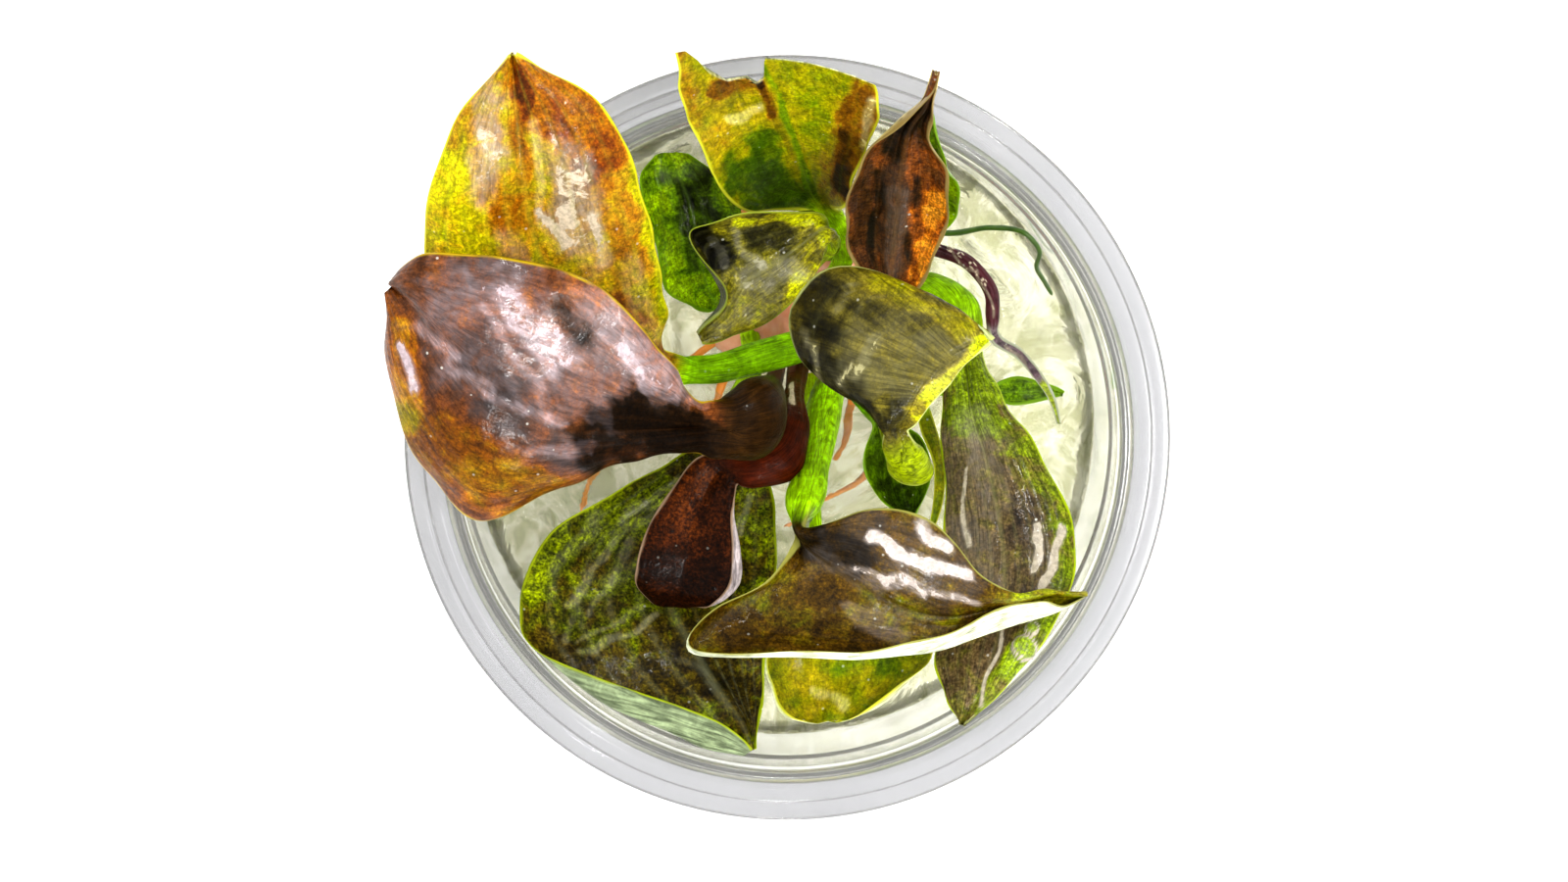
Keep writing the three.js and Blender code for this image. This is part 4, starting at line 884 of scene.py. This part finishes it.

# The long leaf at the right rests its tip on the rim. It is green at its base and along its margins, and
# grey-brown down the middle, under long fine veins and a painted grey sheen, with painted white glints
# along its right side.
grey_brown_skin = leaf_skin(
    "wet_leaf_grey_brown", ["#80960A", "#74820C", "#6C6624", "#685634", "#52422C", "#281E10"],
    rim="#A8BC06", rib="#8A8A5A", petiole="#90C006", under="#B4B87A", bloom="#A89E8C", mottle=0.2, lines=0.4,
    veined=0.25)
right_leaf = grow_leaf(
    "leaf_right_grey",
    [[9.4, 17, 21, 3.2], [13, 18.6, 31, 4], [18, 19.4, 39, 5], [22, 16.6, 44, 5]],
    [[[24.9, 10.6, 47], [22.6, 10.4, 47], [20, 9.6, 47]],
     [[27.4, 5.4, 51], [23.4, 4, 51.4], [19.6, 3, 50.5]],
     [[31.6, -0.6, 54], [25.4, -3, 55.4], [19.9, -5, 53.5]],
     [[35, -7, 55.5], [26.8, -9.6, 57.8], [20, -12, 56]],
     [[36.8, -13.6, 57], [27.6, -16.6, 59.6], [19.4, -19, 58]],
     [[35.9, -19.4, 59.5], [27.4, -22.8, 61.6], [18.8, -25.4, 60]],
     [[33, -25.4, 63.5], [26, -28.6, 64], [19, -30.2, 62.4]],
     [[28.6, -31.2, 65], [24.4, -33, 65.4], [20.2, -33.2, 64.4]],
     [[22.9, -36.3, 65.2], [22.2, -36.6, 65.2], [21.6, -36.1, 65.2]]],
    grey_brown_skin, camber=(1, 0.8), seed=600, flush=0.62, wet=0.4, film=1.6,
    strokes=[
        [24, 11, 24, 4, 4.5, -0.62, -0.08], [29, 0, 36, -11, 2.4, -0.32, 0.1],
        [35.5, -12, 35, -24, 1.6, -0.4, 0.1], [22, -1, 24, -22, 3.4, 0.05, 0.1, 0.3],
        [24, 2, 27, -8, 2.4, 0, 0.1, 0.35], [31, -9, 33, -20, 2.6, 0.05, -0.2, 0, 0.5],
        [31.4, -11, 31.4, -17, 0.6, 0, 0.4, 1.5, 0.6], [34.2, -11, 33.8, -15, 0.5, 0, 0.4, 1.5, 0.6],
        [33.8, -15, 32.4, -19.4, 0.6, 0, 0.4, 1.5, 0.6],
        [27.6, -24.4, 24.4, -33.6, 0.35, 0, 0.4, 1.4, 0.5], [22.4, -4, 23, -14, 0.4, 0, 0.2, 0.8, 0.4],
        [29, -28, 25, -34, 1.6, -0.35, 0.1], [32, -24, 29, -30, 2, -0.4, 0.05, 0, 0.3],
        [22, -30, 22, -35, 1.4, -0.1, -0.1]],
    drops=[(30.2, -26.7, 1.6), (31.2, -24.3, 0.9)])
fix_leaf(right_leaf, "leaf_right")

# The high leaf in the centre hangs from the bend of its petiole, which makes the bright bulb beside it.
# Its big half bulges up with a pale rim, and the narrow half is a bright strip.
centre_skin = leaf_skin(
    "wet_leaf_centre_olive", ["#B4BC00", "#98900A", "#7A6E18", "#5C541A", "#383206", "#1C1A04"],
    rim="#C8D080", rib="#98965A", petiole="#8C9C02", under="#B4C080", bloom="#A09A70", mottle=0.08,
    fleck=0.14, lines=0.4, veined=0.1, run=(0.15, 1.0))
centre_high = grow_leaf(
    "leaf_centre_high_olive",
    [[9.6, 13, 21, 2.8], [10.8, 9, 38, 3.2], [12.8, 3, 56, 3.4], [15, -2.6, 69, 5], [15.6, -3.6, 75, 6],
     [14.8, -1.6, 78.6, 5]],
    [[[12.2, 1.8, 79.4], [13.8, 1.4, 80], [15.4, 1, 79.4]],
     [[9.3, 5.2, 78], [15.3, 3.4, 82], [16.8, 2.4, 80.6]],
     [[4.5, 7.6, 76], [16.4, 5.4, 83.4], [18.3, 4.3, 81.8]],
     [[0.9, 11, 74.5], [17.6, 7.2, 84.4], [19.7, 6, 82.8]],
     [[0.5, 16.6, 74], [18.9, 8.8, 85], [20.9, 7.3, 83.4]],
     [[4.6, 21.4, 75], [20.3, 10.1, 85.2], [22.1, 8.7, 83.8]],
     [[11.6, 21.6, 78], [22, 11.2, 85], [23.4, 10, 84]],
     [[19.6, 18, 81.6], [23.8, 12.2, 84.6], [24.7, 11.2, 84]],
     [[25.3, 13.1, 84], [25.6, 12.7, 84], [25.8, 12.2, 83.8]]],
    centre_skin, camber=(2, 0), seed=700, flush=0.55, wet=0.35, crease=0.2,
    # Strokes with a sheen value paint a grey sheen over the middle and a few small glints.
    strokes=[
        [2, 12, 4, 17, 3.6, 0.35, -0.2], [4, 9, 9, 6, 2.4, 0.35, -0.1],
        [12, 19.6, 24, 13.4, 1.5, -0.3, -0.1], [16.4, 3, 25, 12, 1.3, -0.5, 0.45],
        [9, 17, 20, 13.4, 1.6, 0.12, 0.05], [10, 10, 20, 9, 4.4, 0.05, 0, 0.4],
        [9, 9, 11, 12, 1.0, 0, 0, 0.5], [6, 16, 8, 20, 0.5, 0, 0, 0.7],
        [4, 8, 2.6, 13, 0.5, 0, 0.2, 0.8, 0.5], [7, 7.4, 8, 9, 0.4, 0, 0.2, 0.8, 0.5],
        [9, 4.6, 13, 1.6, 1.2, 0.3, -0.2], [14, 4, 16, 4.4, 1.4, 0.3, -0.1]])
fix_leaf(centre_high, "leaf_centre_high")

# The small cupped leaf under the centre leaf is the darkest green, and holds a film of water.
deep_skin = leaf_skin(
    "wet_leaf_deep_green", ["#90B000", "#709600", "#547200", "#3A4C02", "#222E02", "#101402"],
    rim="#6E9410", rib="#6A8A30", petiole="#7CB404", under="#8AA04A", bloom="#8A9A70", mottle=0.28)
small_cupped = grow_leaf(
    "leaf_small_cupped_green",
    [[9.2, 6.8, 19.6, 1.6], [8.8, 5.2, 28, 1.6], [10, 3.8, 34, 1.6]],
    [[[12.6, 2.6, 37], [11.6, 2.6, 36.8], [10.6, 2.5, 37]],
     [[17.2, 0.6, 40], [13.2, -0.8, 35.4], [9.8, -1, 40]],
     [[18.4, -3.2, 41], [14.1, -4, 34.6], [9.9, -4.8, 41]],
     [[17.6, -7.2, 40], [14.9, -7.6, 35], [11.8, -8, 40]],
     [[16.6, -9.6, 37.6], [15.7, -9.8, 37], [14.8, -9.6, 37.6]]],
    deep_skin, camber=(-0.8, -0.8), columns=NARROW_COLUMNS, seed=800, flush=0.42, wet=1.0, film=2.5)
fix_leaf(small_cupped, "leaf_small_cupped")

# The young leaf beside it is a narrow strip, still folded, and bright yellow-green.
young_skin = leaf_skin(
    "wet_leaf_yellow_green", ["#4C6C00", "#728800", "#A09A02", "#B8A010", "#A06A0C", "#482C06"],
    rim="#D2D232", rib="#7E9E04", petiole="#A4D006", under="#E4E8B0", bloom="#CFC486", mottle=0.11,
    fleck=0.16)
young_strip = grow_leaf(
    "leaf_young_strip_green",
    [[11.8, 10.4, 20.4, 1.6], [14.6, 8.2, 31, 1.6], [17, 4.6, 37, 1.6]],
    [[[18.9, 1.6, 40], [17.9, 1.4, 40.2], [16.9, 1.2, 40]],
     [[20.1, -4, 44], [19.3, -4, 44.4], [18.7, -4, 44]],
     [[19.7, -8.4, 45], [18.9, -8.6, 45.4], [18.5, -8.6, 45]],
     [[18.2, -12.8, 45.6], [17.9, -12.9, 45.6], [17.6, -12.9, 45.6]]],
    young_skin, columns=NARROW_COLUMNS, seed=900, flush=0.25, swell=0.05, ruffle=0.05, strokes=[
        [19.4, -1, 18.6, -11, 1.2, 0.05, 0.4]])
fix_leaf(young_strip, "leaf_young_strip")

# The torn leaf at the top is folded on its bright midrib. A bite is missing from its upper left edge,
# and the torn edge is brown and ragged.
torn_leaf = grow_leaf(
    "leaf_torn_yellow",
    [[4.9, 19.4, 21, 2.6], [7.2, 24, 34, 2.8], [5.8, 28.6, 44, 2.8]],
    [[[0.4, 29.2, 49], [3.4, 30.6, 49.4], [5.8, 29.4, 50]],
     [[-5.8, 29.4, 56], [2.4, 33, 54.5], [7.3, 29.6, 56.5]],
     [[-9.4, 33.6, 65], [1.1, 36.5, 61], [8.4, 33, 62.4]],
     [[-11.9, 38.8, 73], [-0.3, 40, 68], [10.2, 37.4, 69.4]],
     [[-13.6, 43.4, 79], [-1.6, 43.8, 74.5], [11.7, 41.4, 75.4]],
     [[-14.3, 49.2, 85], [-3.1, 48.4, 80.5], [11.1, 45, 80.4]]],
    young_skin, camber=(-1.2, -1), seed=1000, flush=0.38, wet=0.35,
    torn=([-1, -0.84, -0.7, -0.56, -0.4, -0.22, -0.15, -0.06, -0.03, 0, 1],
          [1.0, 1.0, 0.77, 0.35, 0.19, 0.35, 0.19, 0.38, 0.73, 1.0, 1.0]),
    strokes=[
        [-12, 46, -6, 35, 5, 0, -0.15], [-14, 49, -12.6, 41, 1.8, 0.3, 0.1],
        [-10, 37, -5, 41, 2.6, 0.1, 0.15], [-10, 45, -9, 38, 2, 0.14, 0.1],
        [-5, 33, 1, 29, 3.6, -0.34, -0.1], [-3, 38, -2, 33, 2.4, -0.3, -0.1],
        [9, 43, 8.8, 33, 3, 0.42, -0.2, 0, -0.2], [6, 37, 6, 31, 2, 0.2, -0.25],
        [-3, 48, 2.8, 33, 0.5, -0.3, 0.3], [-4, 46, 0.6, 36, 0.5, 0.15, -0.25],
        [3, 45, 4, 36, 2.4, -0.05, 0.1], [-9.4, 45, -4, 45.2, 1.0, 0.4, -0.2],
        # The second stroke here and the last stroke paint small glints.
        [-3, 46, -2.4, 42, 0.9, 0.3, -0.1], [-7, 41, -3.6, 42.4, 0.5, 0, 0.4, 0.7, 0.5],
        [11, 43.4, 10.4, 37.4, 0.7, 0, 0.2, 0.8, 0.3]])
fix_leaf(torn_leaf, "leaf_torn")

# The leaf in the middle is curled: its left lobe is a hollow, painted dark brown and in painted shade,
# and a silver sheen is painted on its lower left.
curled_skin = leaf_skin(
    "wet_leaf_curled_olive", ["#A8AA06", "#8C840C", "#6A6418", "#4C4812", "#302C06", "#181604"],
    rim="#8C982C", rib="#98965A", petiole="#9CB406", under="#3C4010", bloom="#A09C84", mottle=0.22,
    lines=0.3)
middle_curled = grow_leaf(
    "leaf_middle_curled_olive",
    [[1, 20.2, 21, 2.6], [3.8, 23.4, 38, 2.6], [5.6, 25.2, 52, 2.6]],
    [[[4.7, 24.8, 57.4], [4.6, 26.8, 58], [3.8, 28.9, 60]],
     [[3.2, 20.4, 57.6], [1.4, 24.4, 57.4], [-1.6, 28.8, 62.6]],
     [[0.2, 17, 57.2], [-2.4, 21.8, 57.4], [-8, 28.4, 64.4]],
     [[-3, 15, 57], [-5.4, 19.6, 57.8], [-13, 27, 64]],
     [[-7.4, 13.2, 57], [-7.8, 16, 57.6], [-8, 19, 60]],
     [[-11, 12.5, 57], [-11.2, 12.9, 57], [-11.3, 13.4, 57.4]]],
    curled_skin, camber=(0.8, -1.8), rolls=[(0, 0), (0, 0), (0, 0), (0, 50), (0, 0), (0, 0)], seed=1100,
    hinge=[0.8, 0.8, 0.7, 0.8, 0.7, 0.7], flush=0.34, wet=0.6, film=2.0, strokes=[
        [0, 27, 2, 19, 4, 0, 0.25], [-3, 26.6, 2, 24.6, 2.6, 0.4, -0.25],
        # The first stroke here paints shade and a darker brown into the hollow; strokes with a sheen value
        # paint the silver sheen.
        [-11, 27.6, -9, 23, 1.8, 0.7, -0.6, -0.5, -0.4], [3.6, 27, 1, 19, 1.8, -0.4, 0.2],
        [-7, 27, -4, 22, 0.7, 0, 0.3, 0.55, 0.3], [-5, 21, 1, 21.4, 1.8, 0, 0.1, 0.7],
        [-9, 15, -3, 18, 2.2, -0.1, 0.1, 0.35], [-10, 26, -8, 22, 0.6, 0, 0.4, 0.8, 0.3],
        [-6, 28, 3, 28.6, 0.7, -0.6, 0.3]])
fix_leaf(middle_curled, "leaf_middle_curled")

# The pointed leaf at the upper right is pleated lengthways, dark brown in the folds and orange-brown on
# its right side. Its tip is drawn out to a thread.
pointed_skin = leaf_skin(
    "wet_leaf_dark_brown", ["#D08A24", "#B46412", "#8A4A14", "#5C3614", "#402608", "#1E1404"],
    rim="#8E7A48", rib="#6A4A2A", petiole="#5A4A10", under="#B8A870", bloom="#B89C88", mottle=0.13,
    fleck=0.32, lines=0.3, veined=0.35)
pointed = grow_leaf(
    "leaf_pointed_brown",
    [[8.6, 21, 21, 2.6], [10.6, 19.6, 38, 3], [12.6, 18.2, 52, 3.2]],
    [[[10.6, 18.4, 56], [13, 17.8, 57], [15.6, 17.6, 56.6]],
     [[7.7, 24, 62], [13.4, 23.6, 62], [18.8, 23, 62.6]],
     [[7.5, 29.4, 68], [13.9, 29, 67.4], [20.4, 28.6, 68.6]],
     [[9.3, 35, 74], [14.5, 34.6, 73], [20.2, 34, 74]],
     [[12.8, 39.2, 79], [15.4, 39, 78], [18.2, 38.8, 78.6]],
     [[16.9, 42.6, 82.6], [17.6, 42.5, 82.2], [19, 42, 82.4]],
     [[18.5, 46, 85], [18.9, 46.2, 85], [19.3, 46, 85]]],
    pointed_skin, camber=(-1.6, -1.4), seed=1200, flush=0.5, wet=0.3, strokes=[
        [17.4, 22, 18.6, 31, 2, -0.4, 0.3, 0, -0.1], [12.6, 20, 14, 34, 1.9, 0.3, 0, 0.1, 0.1],
        [9, 23, 9.6, 34, 1.6, 0.2, -0.05], [10.6, 22, 11.6, 34, 0.8, 0.3, -0.2],
        # The second stroke here paints a faint sheen down the middle.
        [16, 20, 16.4, 33, 0.7, 0.3, -0.2], [14, 31, 13.6, 22, 1.3, 0, 0.15, 0.15, 0.5],
        [13.5, 37, 18, 43, 1.5, 0.45, -0.25], [19.4, 33, 18.5, 38, 1.2, 0.05, 0]])
fix_leaf(pointed, "leaf_pointed")

# The green leaf behind the pointed one only shows its right edge from above.
behind_pointed = grow_leaf(
    "leaf_behind_pointed_green",
    [[4.8, 23.6, 20.4, 2.2], [9, 24.6, 30, 2.2], [13, 25, 38, 2.2]],
    [[[14.8, 26.8, 43], [16, 25.6, 43], [17.2, 24.4, 43]],
     [[13.6, 31, 49.4], [17.2, 29.8, 48.6], [21.4, 28.4, 50]],
     [[14.6, 35.2, 57.4], [17.9, 34.2, 56.4], [21.5, 32.7, 58]],
     [[16.4, 39.2, 65.4], [18, 38.4, 65], [19.5, 37.3, 65.6]],
     [[17.8, 41.4, 67], [18.2, 41.4, 67], [18.6, 41.2, 67]]],
    deep_skin, camber=(-0.5, -0.5), columns=NARROW_COLUMNS, seed=1300, flush=0.2)
fix_leaf(behind_pointed, "leaf_behind_pointed")

# The deep green leaf stands low in the cup at the upper left, hollow towards the eye. Its strokes paint
# the hollow darker, in painted shade and a darker green, and its left and lower rim lighter, in painted
# light and a brighter green, with a faint painted sheen at the top.
deep_green = grow_leaf(
    "leaf_deep_green_hollow",
    [[-4.4, 17.2, 20.6, 2.6], [-6, 17.4, 28, 2.6], [-7.6, 17.8, 33.6, 2.8]],
    [[[-10.4, 16.2, 38.6], [-9, 17.4, 38], [-7.6, 18.6, 38]],
     [[-15, 18.8, 44.4], [-10.8, 21.4, 42.4], [-6.6, 22.6, 43]],
     [[-17, 25.2, 48.6], [-11.8, 26.4, 46.4], [-6, 27, 47]],
     [[-18.5, 31, 51], [-13, 31.4, 49], [-6.6, 31.2, 50]],
     [[-18.7, 34.4, 51], [-14.4, 34.8, 50], [-9.4, 34.4, 50.6]],
     [[-17.2, 36.1, 50.4], [-15, 36.5, 50.4], [-12.6, 36.3, 50.4]]],
    deep_skin, camber=(-0.9, -0.8), seed=1400, flush=0.2, wet=0.25, strokes=[
        [-14, 18, -9, 19, 3, -0.22, 0.2], [-11.6, 33, -10, 26, 2.2, 0.45, -0.2],
        [-16.4, 30, -15, 20, 2, -0.1, 0.1], [-13.6, 32, -12, 22, 1.0, 0.3, -0.2],
        [-15, 34, -12, 34.6, 1.2, 0.2, 0, 0.3]])
fix_leaf(deep_green, "leaf_deep_green")

# The narrow purple petiole arches over at the right and ends in a thin twisted blade, beaded with water.
wine_skin = leaf_skin(
    "wet_petiole_wine", ["#6A4650", "#6E545C", "#7A6A6C", "#8A8460", "#8E9A20", "#A0B410"],
    rim="#A8AC90", rib="#7A6A6C", petiole="#4A242A", under="#8A7A70", mottle=0.15)
narrow_purple = grow_leaf(
    "leaf_narrow_purple_blade",
    [[12.4, 21.4, 20.4, 1.7], [15, 23.4, 32, 1.9], [19.5, 24, 42, 1.9], [23.4, 22.2, 46, 1.9],
     [25.9, 18.8, 47, 1.9], [26.1, 15.6, 45.6, 1.9]],
    [[[26.9, 13.9, 43.8], [26.2, 13.4, 43.6], [25.7, 12.9, 43.8]],
     [[30, 11.4, 39], [29.5, 10.9, 38.8], [29, 10.4, 39]],
     [[32.9, 7.7, 34], [32.3, 7.5, 33.8], [31.6, 7.5, 34]],
     [[34.3, 4.8, 30], [33.8, 4.9, 29.8], [33.3, 5, 30]],
     [[34.9, 2, 27], [34.6, 2, 27], [34.3, 2, 27]]],
    wine_skin, columns=NARROW_COLUMNS, seed=1500, flush=0.2, swell=0.05, ruffle=0.05, film=2.0, wet=1.0,
    # Thin strokes with a sheen value paint glints along the beads of water, and each drop has a painted
    # highlight round its edge.
    strokes=[
        [33.4, 6, 34.6, 2, 2, 0.7, 0.3], [20, 24.6, 24.4, 21.6, 0.2, 0, 0, 0.8],
        [24.6, 21.4, 25.9, 16, 0.2, 0, 0, 0.8], [28, 12.6, 32, 8, 0.3, 0, 0, 0.8]],
    drops=[(19.4, 24.4, 0.4), (21, 23.9, 0.4), (22.3, 23.2, 0.35), (23.7, 22, 0.4), (25, 20, 0.35)])
fix_leaf(narrow_purple, "leaf_narrow_purple")

# The small leaf at the right lies just above the gel.
on_gel = grow_leaf(
    "leaf_on_gel_green",
    [[12, 6.6, 19, 1.5], [17, 6.4, 20.6, 1.5], [22, 6.2, 21.6, 1.6]],
    [[[26, 6.9, 22.2], [26, 6, 22.2], [26, 5.2, 22.2]],
     [[29.8, 8, 22.8], [29.4, 6.1, 22.6], [28.6, 4.2, 22.8]],
     [[33.4, 7.1, 22.8], [32.6, 6.1, 22.6], [31.8, 4.9, 22.8]],
     [[35.3, 6, 22.4], [35.1, 5.7, 22.4], [34.9, 5.4, 22.4]]],
    deep_skin, camber=(-0.4, -0.4), columns=NARROW_COLUMNS, seed=1600, flush=0.35)
fix_leaf(on_gel, "leaf_on_gel")

# The low leaf at the front is yellow-green, with its margin turned up all round in a cream band.
front_low = grow_leaf(
    "leaf_front_low_yellow",
    [[3.2, 8, 19.4, 2.4], [3.2, 1, 26, 2.4], [3, -7, 31, 2.4], [3.2, -12, 34, 2.4]],
    [[[4.8, -15.6, 36], [3.6, -15.6, 35.8], [2.2, -15.6, 36]],
     [[10.4, -19.6, 40], [4.2, -20, 38], [-0.6, -20, 39]],
     [[18, -25.4, 44], [5.4, -26, 40], [-3.6, -26, 42]],
     [[16.6, -30.3, 46], [5.8, -31, 42], [-3.3, -31.4, 44]],
     [[12, -34, 46], [5.6, -34, 44], [-1.4, -35, 45]],
     [[8, -35.6, 45.6], [5, -36, 45.2], [2, -35.9, 45.4]]],
    young_skin, camber=(-1, -1), rolls=[(0, 0), (0, 60), (0, 160), (60, 170), (150, 170), (0, 0)],
    hinge=[0.8, 0.8, 0.84, 0.86, 0.84, 0.8],
    columns=NARROW_COLUMNS, seed=1700, flush=0.36, wet=0.4, strokes=[
        [0, -27, 4, -33, 2.6, 0.12, 0.1], [9, -28, 15, -28, 3, -0.15, 0.1],
        # This stroke paints a small white glint.
        [3.6, -32, 7, -34, 0.8, 0, 0.4, 0.7, 0.5]])
fix_leaf(front_low, "leaf_front_low")

# The roots are soft cords of live tissue that run out from the crown and down into the gel. They are
# orange-brown and moist, and one green thread climbs out over the gel at the back.
ROOT_ROWS, ROOT_SIDES = 130, 22
TIP_SHARE = 0.04
TIP_CLOSED = 0.96


def root_tube(path, width, tip, seed):
    """A tapering tube round a smooth curve: the circle's radius falls evenly from foot to tip, with noise
    of 4 and 1.2 mm, and the last TIP_SHARE of the length closes as a quarter circle does."""
    path = placed(path)
    places = np.concatenate([[0], np.cumsum(np.linalg.norm(np.diff(path, axis=0), axis=1))])
    u = np.linspace(0, 1, ROOT_ROWS)
    line = smooth_through(path, places, u * places[-1])
    forward = unit(np.gradient(line, axis=0))
    side = unit(np.cross(forward, [0.1, 0.2, 1.0]))
    other = np.cross(side, forward)
    angle = np.linspace(0, 2 * math.pi, ROOT_SIDES, endpoint=False)
    outward = side[:, None] * np.cos(angle)[:, None] + other[:, None] * np.sin(angle)[:, None]
    past = np.clip(u - (1 - TIP_SHARE), 0, 1) / TIP_SHARE
    radius = (width + (tip - width) * u) / 2 * np.sqrt(1 - past ** 2 * TIP_CLOSED)
    start = line[:, None] + outward * radius[:, None, None]
    noise = 1 + 0.07 * waves(start, 4, seed) + 0.05 * waves(start, 1.2, seed + 1)
    return wrapped(line[:, None] + outward * (radius[:, None] * noise)[..., None], flipped=True)


def root_skin(name, pale, deep):
    """Moist root tissue: two close colours in patches of 1.5 mm, under a thin wet coat."""
    skin, shader = new_material(name)
    place_in = node(skin, "ShaderNodeTexCoord").outputs["Object"]
    patches = node(skin, "ShaderNodeTexNoise", {
        "Vector": place_in, "Scale": 1000 / 1.5, "Detail": 4.0}).outputs["Fac"]
    tint = node(skin, "ShaderNodeMix", {0: patches, 6: linear(pale), 7: linear(deep)}, data_type="RGBA")
    uneven = node(skin, "ShaderNodeBump", {"Height": patches, "Strength": 0.4, "Distance": 0.0002})
    shader.inputs["Roughness"].default_value = 0.4
    shader.inputs["Coat Weight"].default_value = 0.5
    shader.inputs["Coat Roughness"].default_value = 0.1
    shader.inputs["Subsurface Weight"].default_value = 0.08
    shader.inputs["Subsurface Radius"].default_value = (0.002, 0.001, 0.0006)
    skin.node_tree.links.new(tint.outputs[2], shader.inputs["Base Color"])
    skin.node_tree.links.new(uneven.outputs["Normal"], shader.inputs["Normal"])
    return skin


tan_root = root_skin("moist_root_tan", "#FFA41E", "#D0700A")
green_root = root_skin("moist_root_green", "#4C6E14", "#22400A")
# Each root's width at its foot and at its tip, and the points that it runs through
roots = {
    "root_front": (1.5, 0.9, [
        [10.6, 6.4, 17.6], [12.4, 0.6, 16.6], [9.6, -4.4, 15], [4.6, -8, 14], [-0.6, -11, 13]]),
    "root_centre": (1.3, 0.8, [[8.6, 7.6, 17.6], [8, 3.6, 16], [7, 0, 14], [6, -3, 12]]),
    "root_left": (1.3, 0.8, [[-6.6, 10.4, 18], [-8.6, 6.6, 16.4], [-9.6, 2, 14.6], [-10.4, -3, 12.6]]),
    "root_far_left": (1.1, 0.66, [
        [-8.6, 13, 18], [-15, 8, 16], [-21, 0, 14.6], [-25, -5, 13.6], [-26.4, -9, 13]]),
    "root_back": (1.2, 0.7, [[-2.4, 23.6, 17.6], [-5, 28, 15.4], [-8, 32, 13.6], [-13, 34, 12.6]]),
    "root_thread": (0.9, 0.6, [
        [8.6, 26.2, 19], [14, 27, 20], [20.8, 26.3, 22.5], [26, 27, 26], [30.6, 26, 29], [32, 24.2, 28],
        [31.7, 22, 25], [32.8, 20, 22], [33.7, 18.4, 19.6]]),
}
for seed, (cad_node, (width, tip, path)) in enumerate(roots.items()):
    green = cad_node == "root_thread"
    tube = root_tube(path, width, tip, 50 + 2 * seed)
    root = new_piece(cad_node + "_cord", *tube, green_root if green else tan_root)
    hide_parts(cad_node)
    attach(root, "root")

# The floor is a plain sheet of white matt paper that the cup stands on.
FLOOR_REACH = 3000.0
FLOOR_DROP = 0.2
paper, shader = new_material("white_paper_matt")
place_in = node(paper, "ShaderNodeTexCoord").outputs["Object"]
fibres = node(paper, "ShaderNodeTexNoise", {
    "Vector": place_in, "Scale": 1000 / 3, "Detail": 3.0}).outputs["Fac"]
uneven = node(paper, "ShaderNodeBump", {"Height": fibres, "Strength": 0.05, "Distance": 0.0002})
shader.inputs["Base Color"].default_value = linear("#FFFFFF")
shader.inputs["Roughness"].default_value = 0.9
paper.node_tree.links.new(uneven.outputs["Normal"], shader.inputs["Normal"])
corners = [[x * FLOOR_REACH, y * FLOOR_REACH, -FLOOR_DROP] for x, y in ((-1, -1), (1, -1), (1, 1), (-1, 1))]
floor = new_piece("floor_sheet", corners, [[0, 1, 2, 3]], paper)

# The studio's light: three broad softboxes from the right, the front and the back left, three small
# bright lamps whose glints show in the water, and an even white room. The view adds a little contrast.
WHITE_ROOM = 0.85


def softbox(name, place, aim, width, height, radiance):
    """An area light at place, turned to face aim, brightest in the middle and fading out to its edges.
    Its power is its radiance times pi times its area."""
    lamp = bpy.data.lights.new(name, "AREA")
    lamp.use_nodes = True
    across = node(lamp, "ShaderNodeTexCoord").outputs["UV"]
    from_middle = node(lamp, "ShaderNodeVectorMath", {0: across, 1: (0.5, 0.5, 0.0)}, operation="DISTANCE")
    fade = node(lamp, "ShaderNodeMapRange", {
        "Value": from_middle.outputs["Value"], 1: 0.1, 2: 0.5, 3: 1.0, 4: 0.0},
        interpolation_type="SMOOTHSTEP")
    lamp.node_tree.links.new(fade.outputs[0], lamp.node_tree.nodes["Emission"].inputs["Strength"])
    lamp.shape = "RECTANGLE"
    lamp.size = width
    lamp.size_y = height
    lamp.energy = radiance * math.pi * width * height
    box = bpy.data.objects.new(name, lamp)
    box.location = place
    box.rotation_euler = (Vector(aim) - Vector(place)).to_track_quat("-Z", "Y").to_euler()
    bpy.context.scene.collection.objects.link(box)


softbox("softbox_over", (0.46, -0.11, 1.00), (-0.02, 0, 0.07), 1.1, 1.0, 3.0)
softbox("softbox_front", (0.04, -0.86, 0.74), (0, 0, 0.07), 1.0, 0.9, 1.8)
softbox("softbox_left", (-0.62, 0.55, 0.95), (-0.05, 0.03, 0.07), 1.0, 1.0, 3.4)
softbox("lamp_over", (0.29, -0.07, 1.05), (0, 0, 0.07), 0.16, 0.16, 95.0)
softbox("lamp_front", (0.00, -0.78, 0.72), (0, 0, 0.07), 0.16, 0.16, 95.0)
softbox("lamp_back", (0.40, 0.54, 0.88), (0, 0, 0.07), 0.15, 0.15, 95.0)
world = bpy.data.worlds.new("white_room")
world.use_nodes = True
world.node_tree.nodes["Background"].inputs["Color"].default_value = linear("#FFFFFF")
world.node_tree.nodes["Background"].inputs["Strength"].default_value = WHITE_ROOM
bpy.context.scene.world = world
bpy.context.scene.view_settings.view_transform = "Standard"
bpy.context.scene.view_settings.look = "Medium High Contrast"

# The camera looks almost straight down into the cup, from the eye's place 90 cm over its rim.
CAMERA_PLACE = Vector(EYE * MM)
CAMERA_AIM = Vector((-0.0005, -0.0002, 0.062))
lens = bpy.data.cameras.new("camera")
lens.lens = 162.2
lens.sensor_width = 36.0
camera = bpy.data.objects.new("camera", lens)
backward = (CAMERA_PLACE - CAMERA_AIM).normalized()
rightward = Vector((0, 1, 0)).cross(backward).normalized()
upward = backward.cross(rightward)
camera.matrix_world = Matrix((
    (rightward.x, upward.x, backward.x, CAMERA_PLACE.x),
    (rightward.y, upward.y, backward.y, CAMERA_PLACE.y),
    (rightward.z, upward.z, backward.z, CAMERA_PLACE.z),
    (0, 0, 0, 1)))
bpy.context.scene.collection.objects.link(camera)
bpy.context.scene.camera = camera
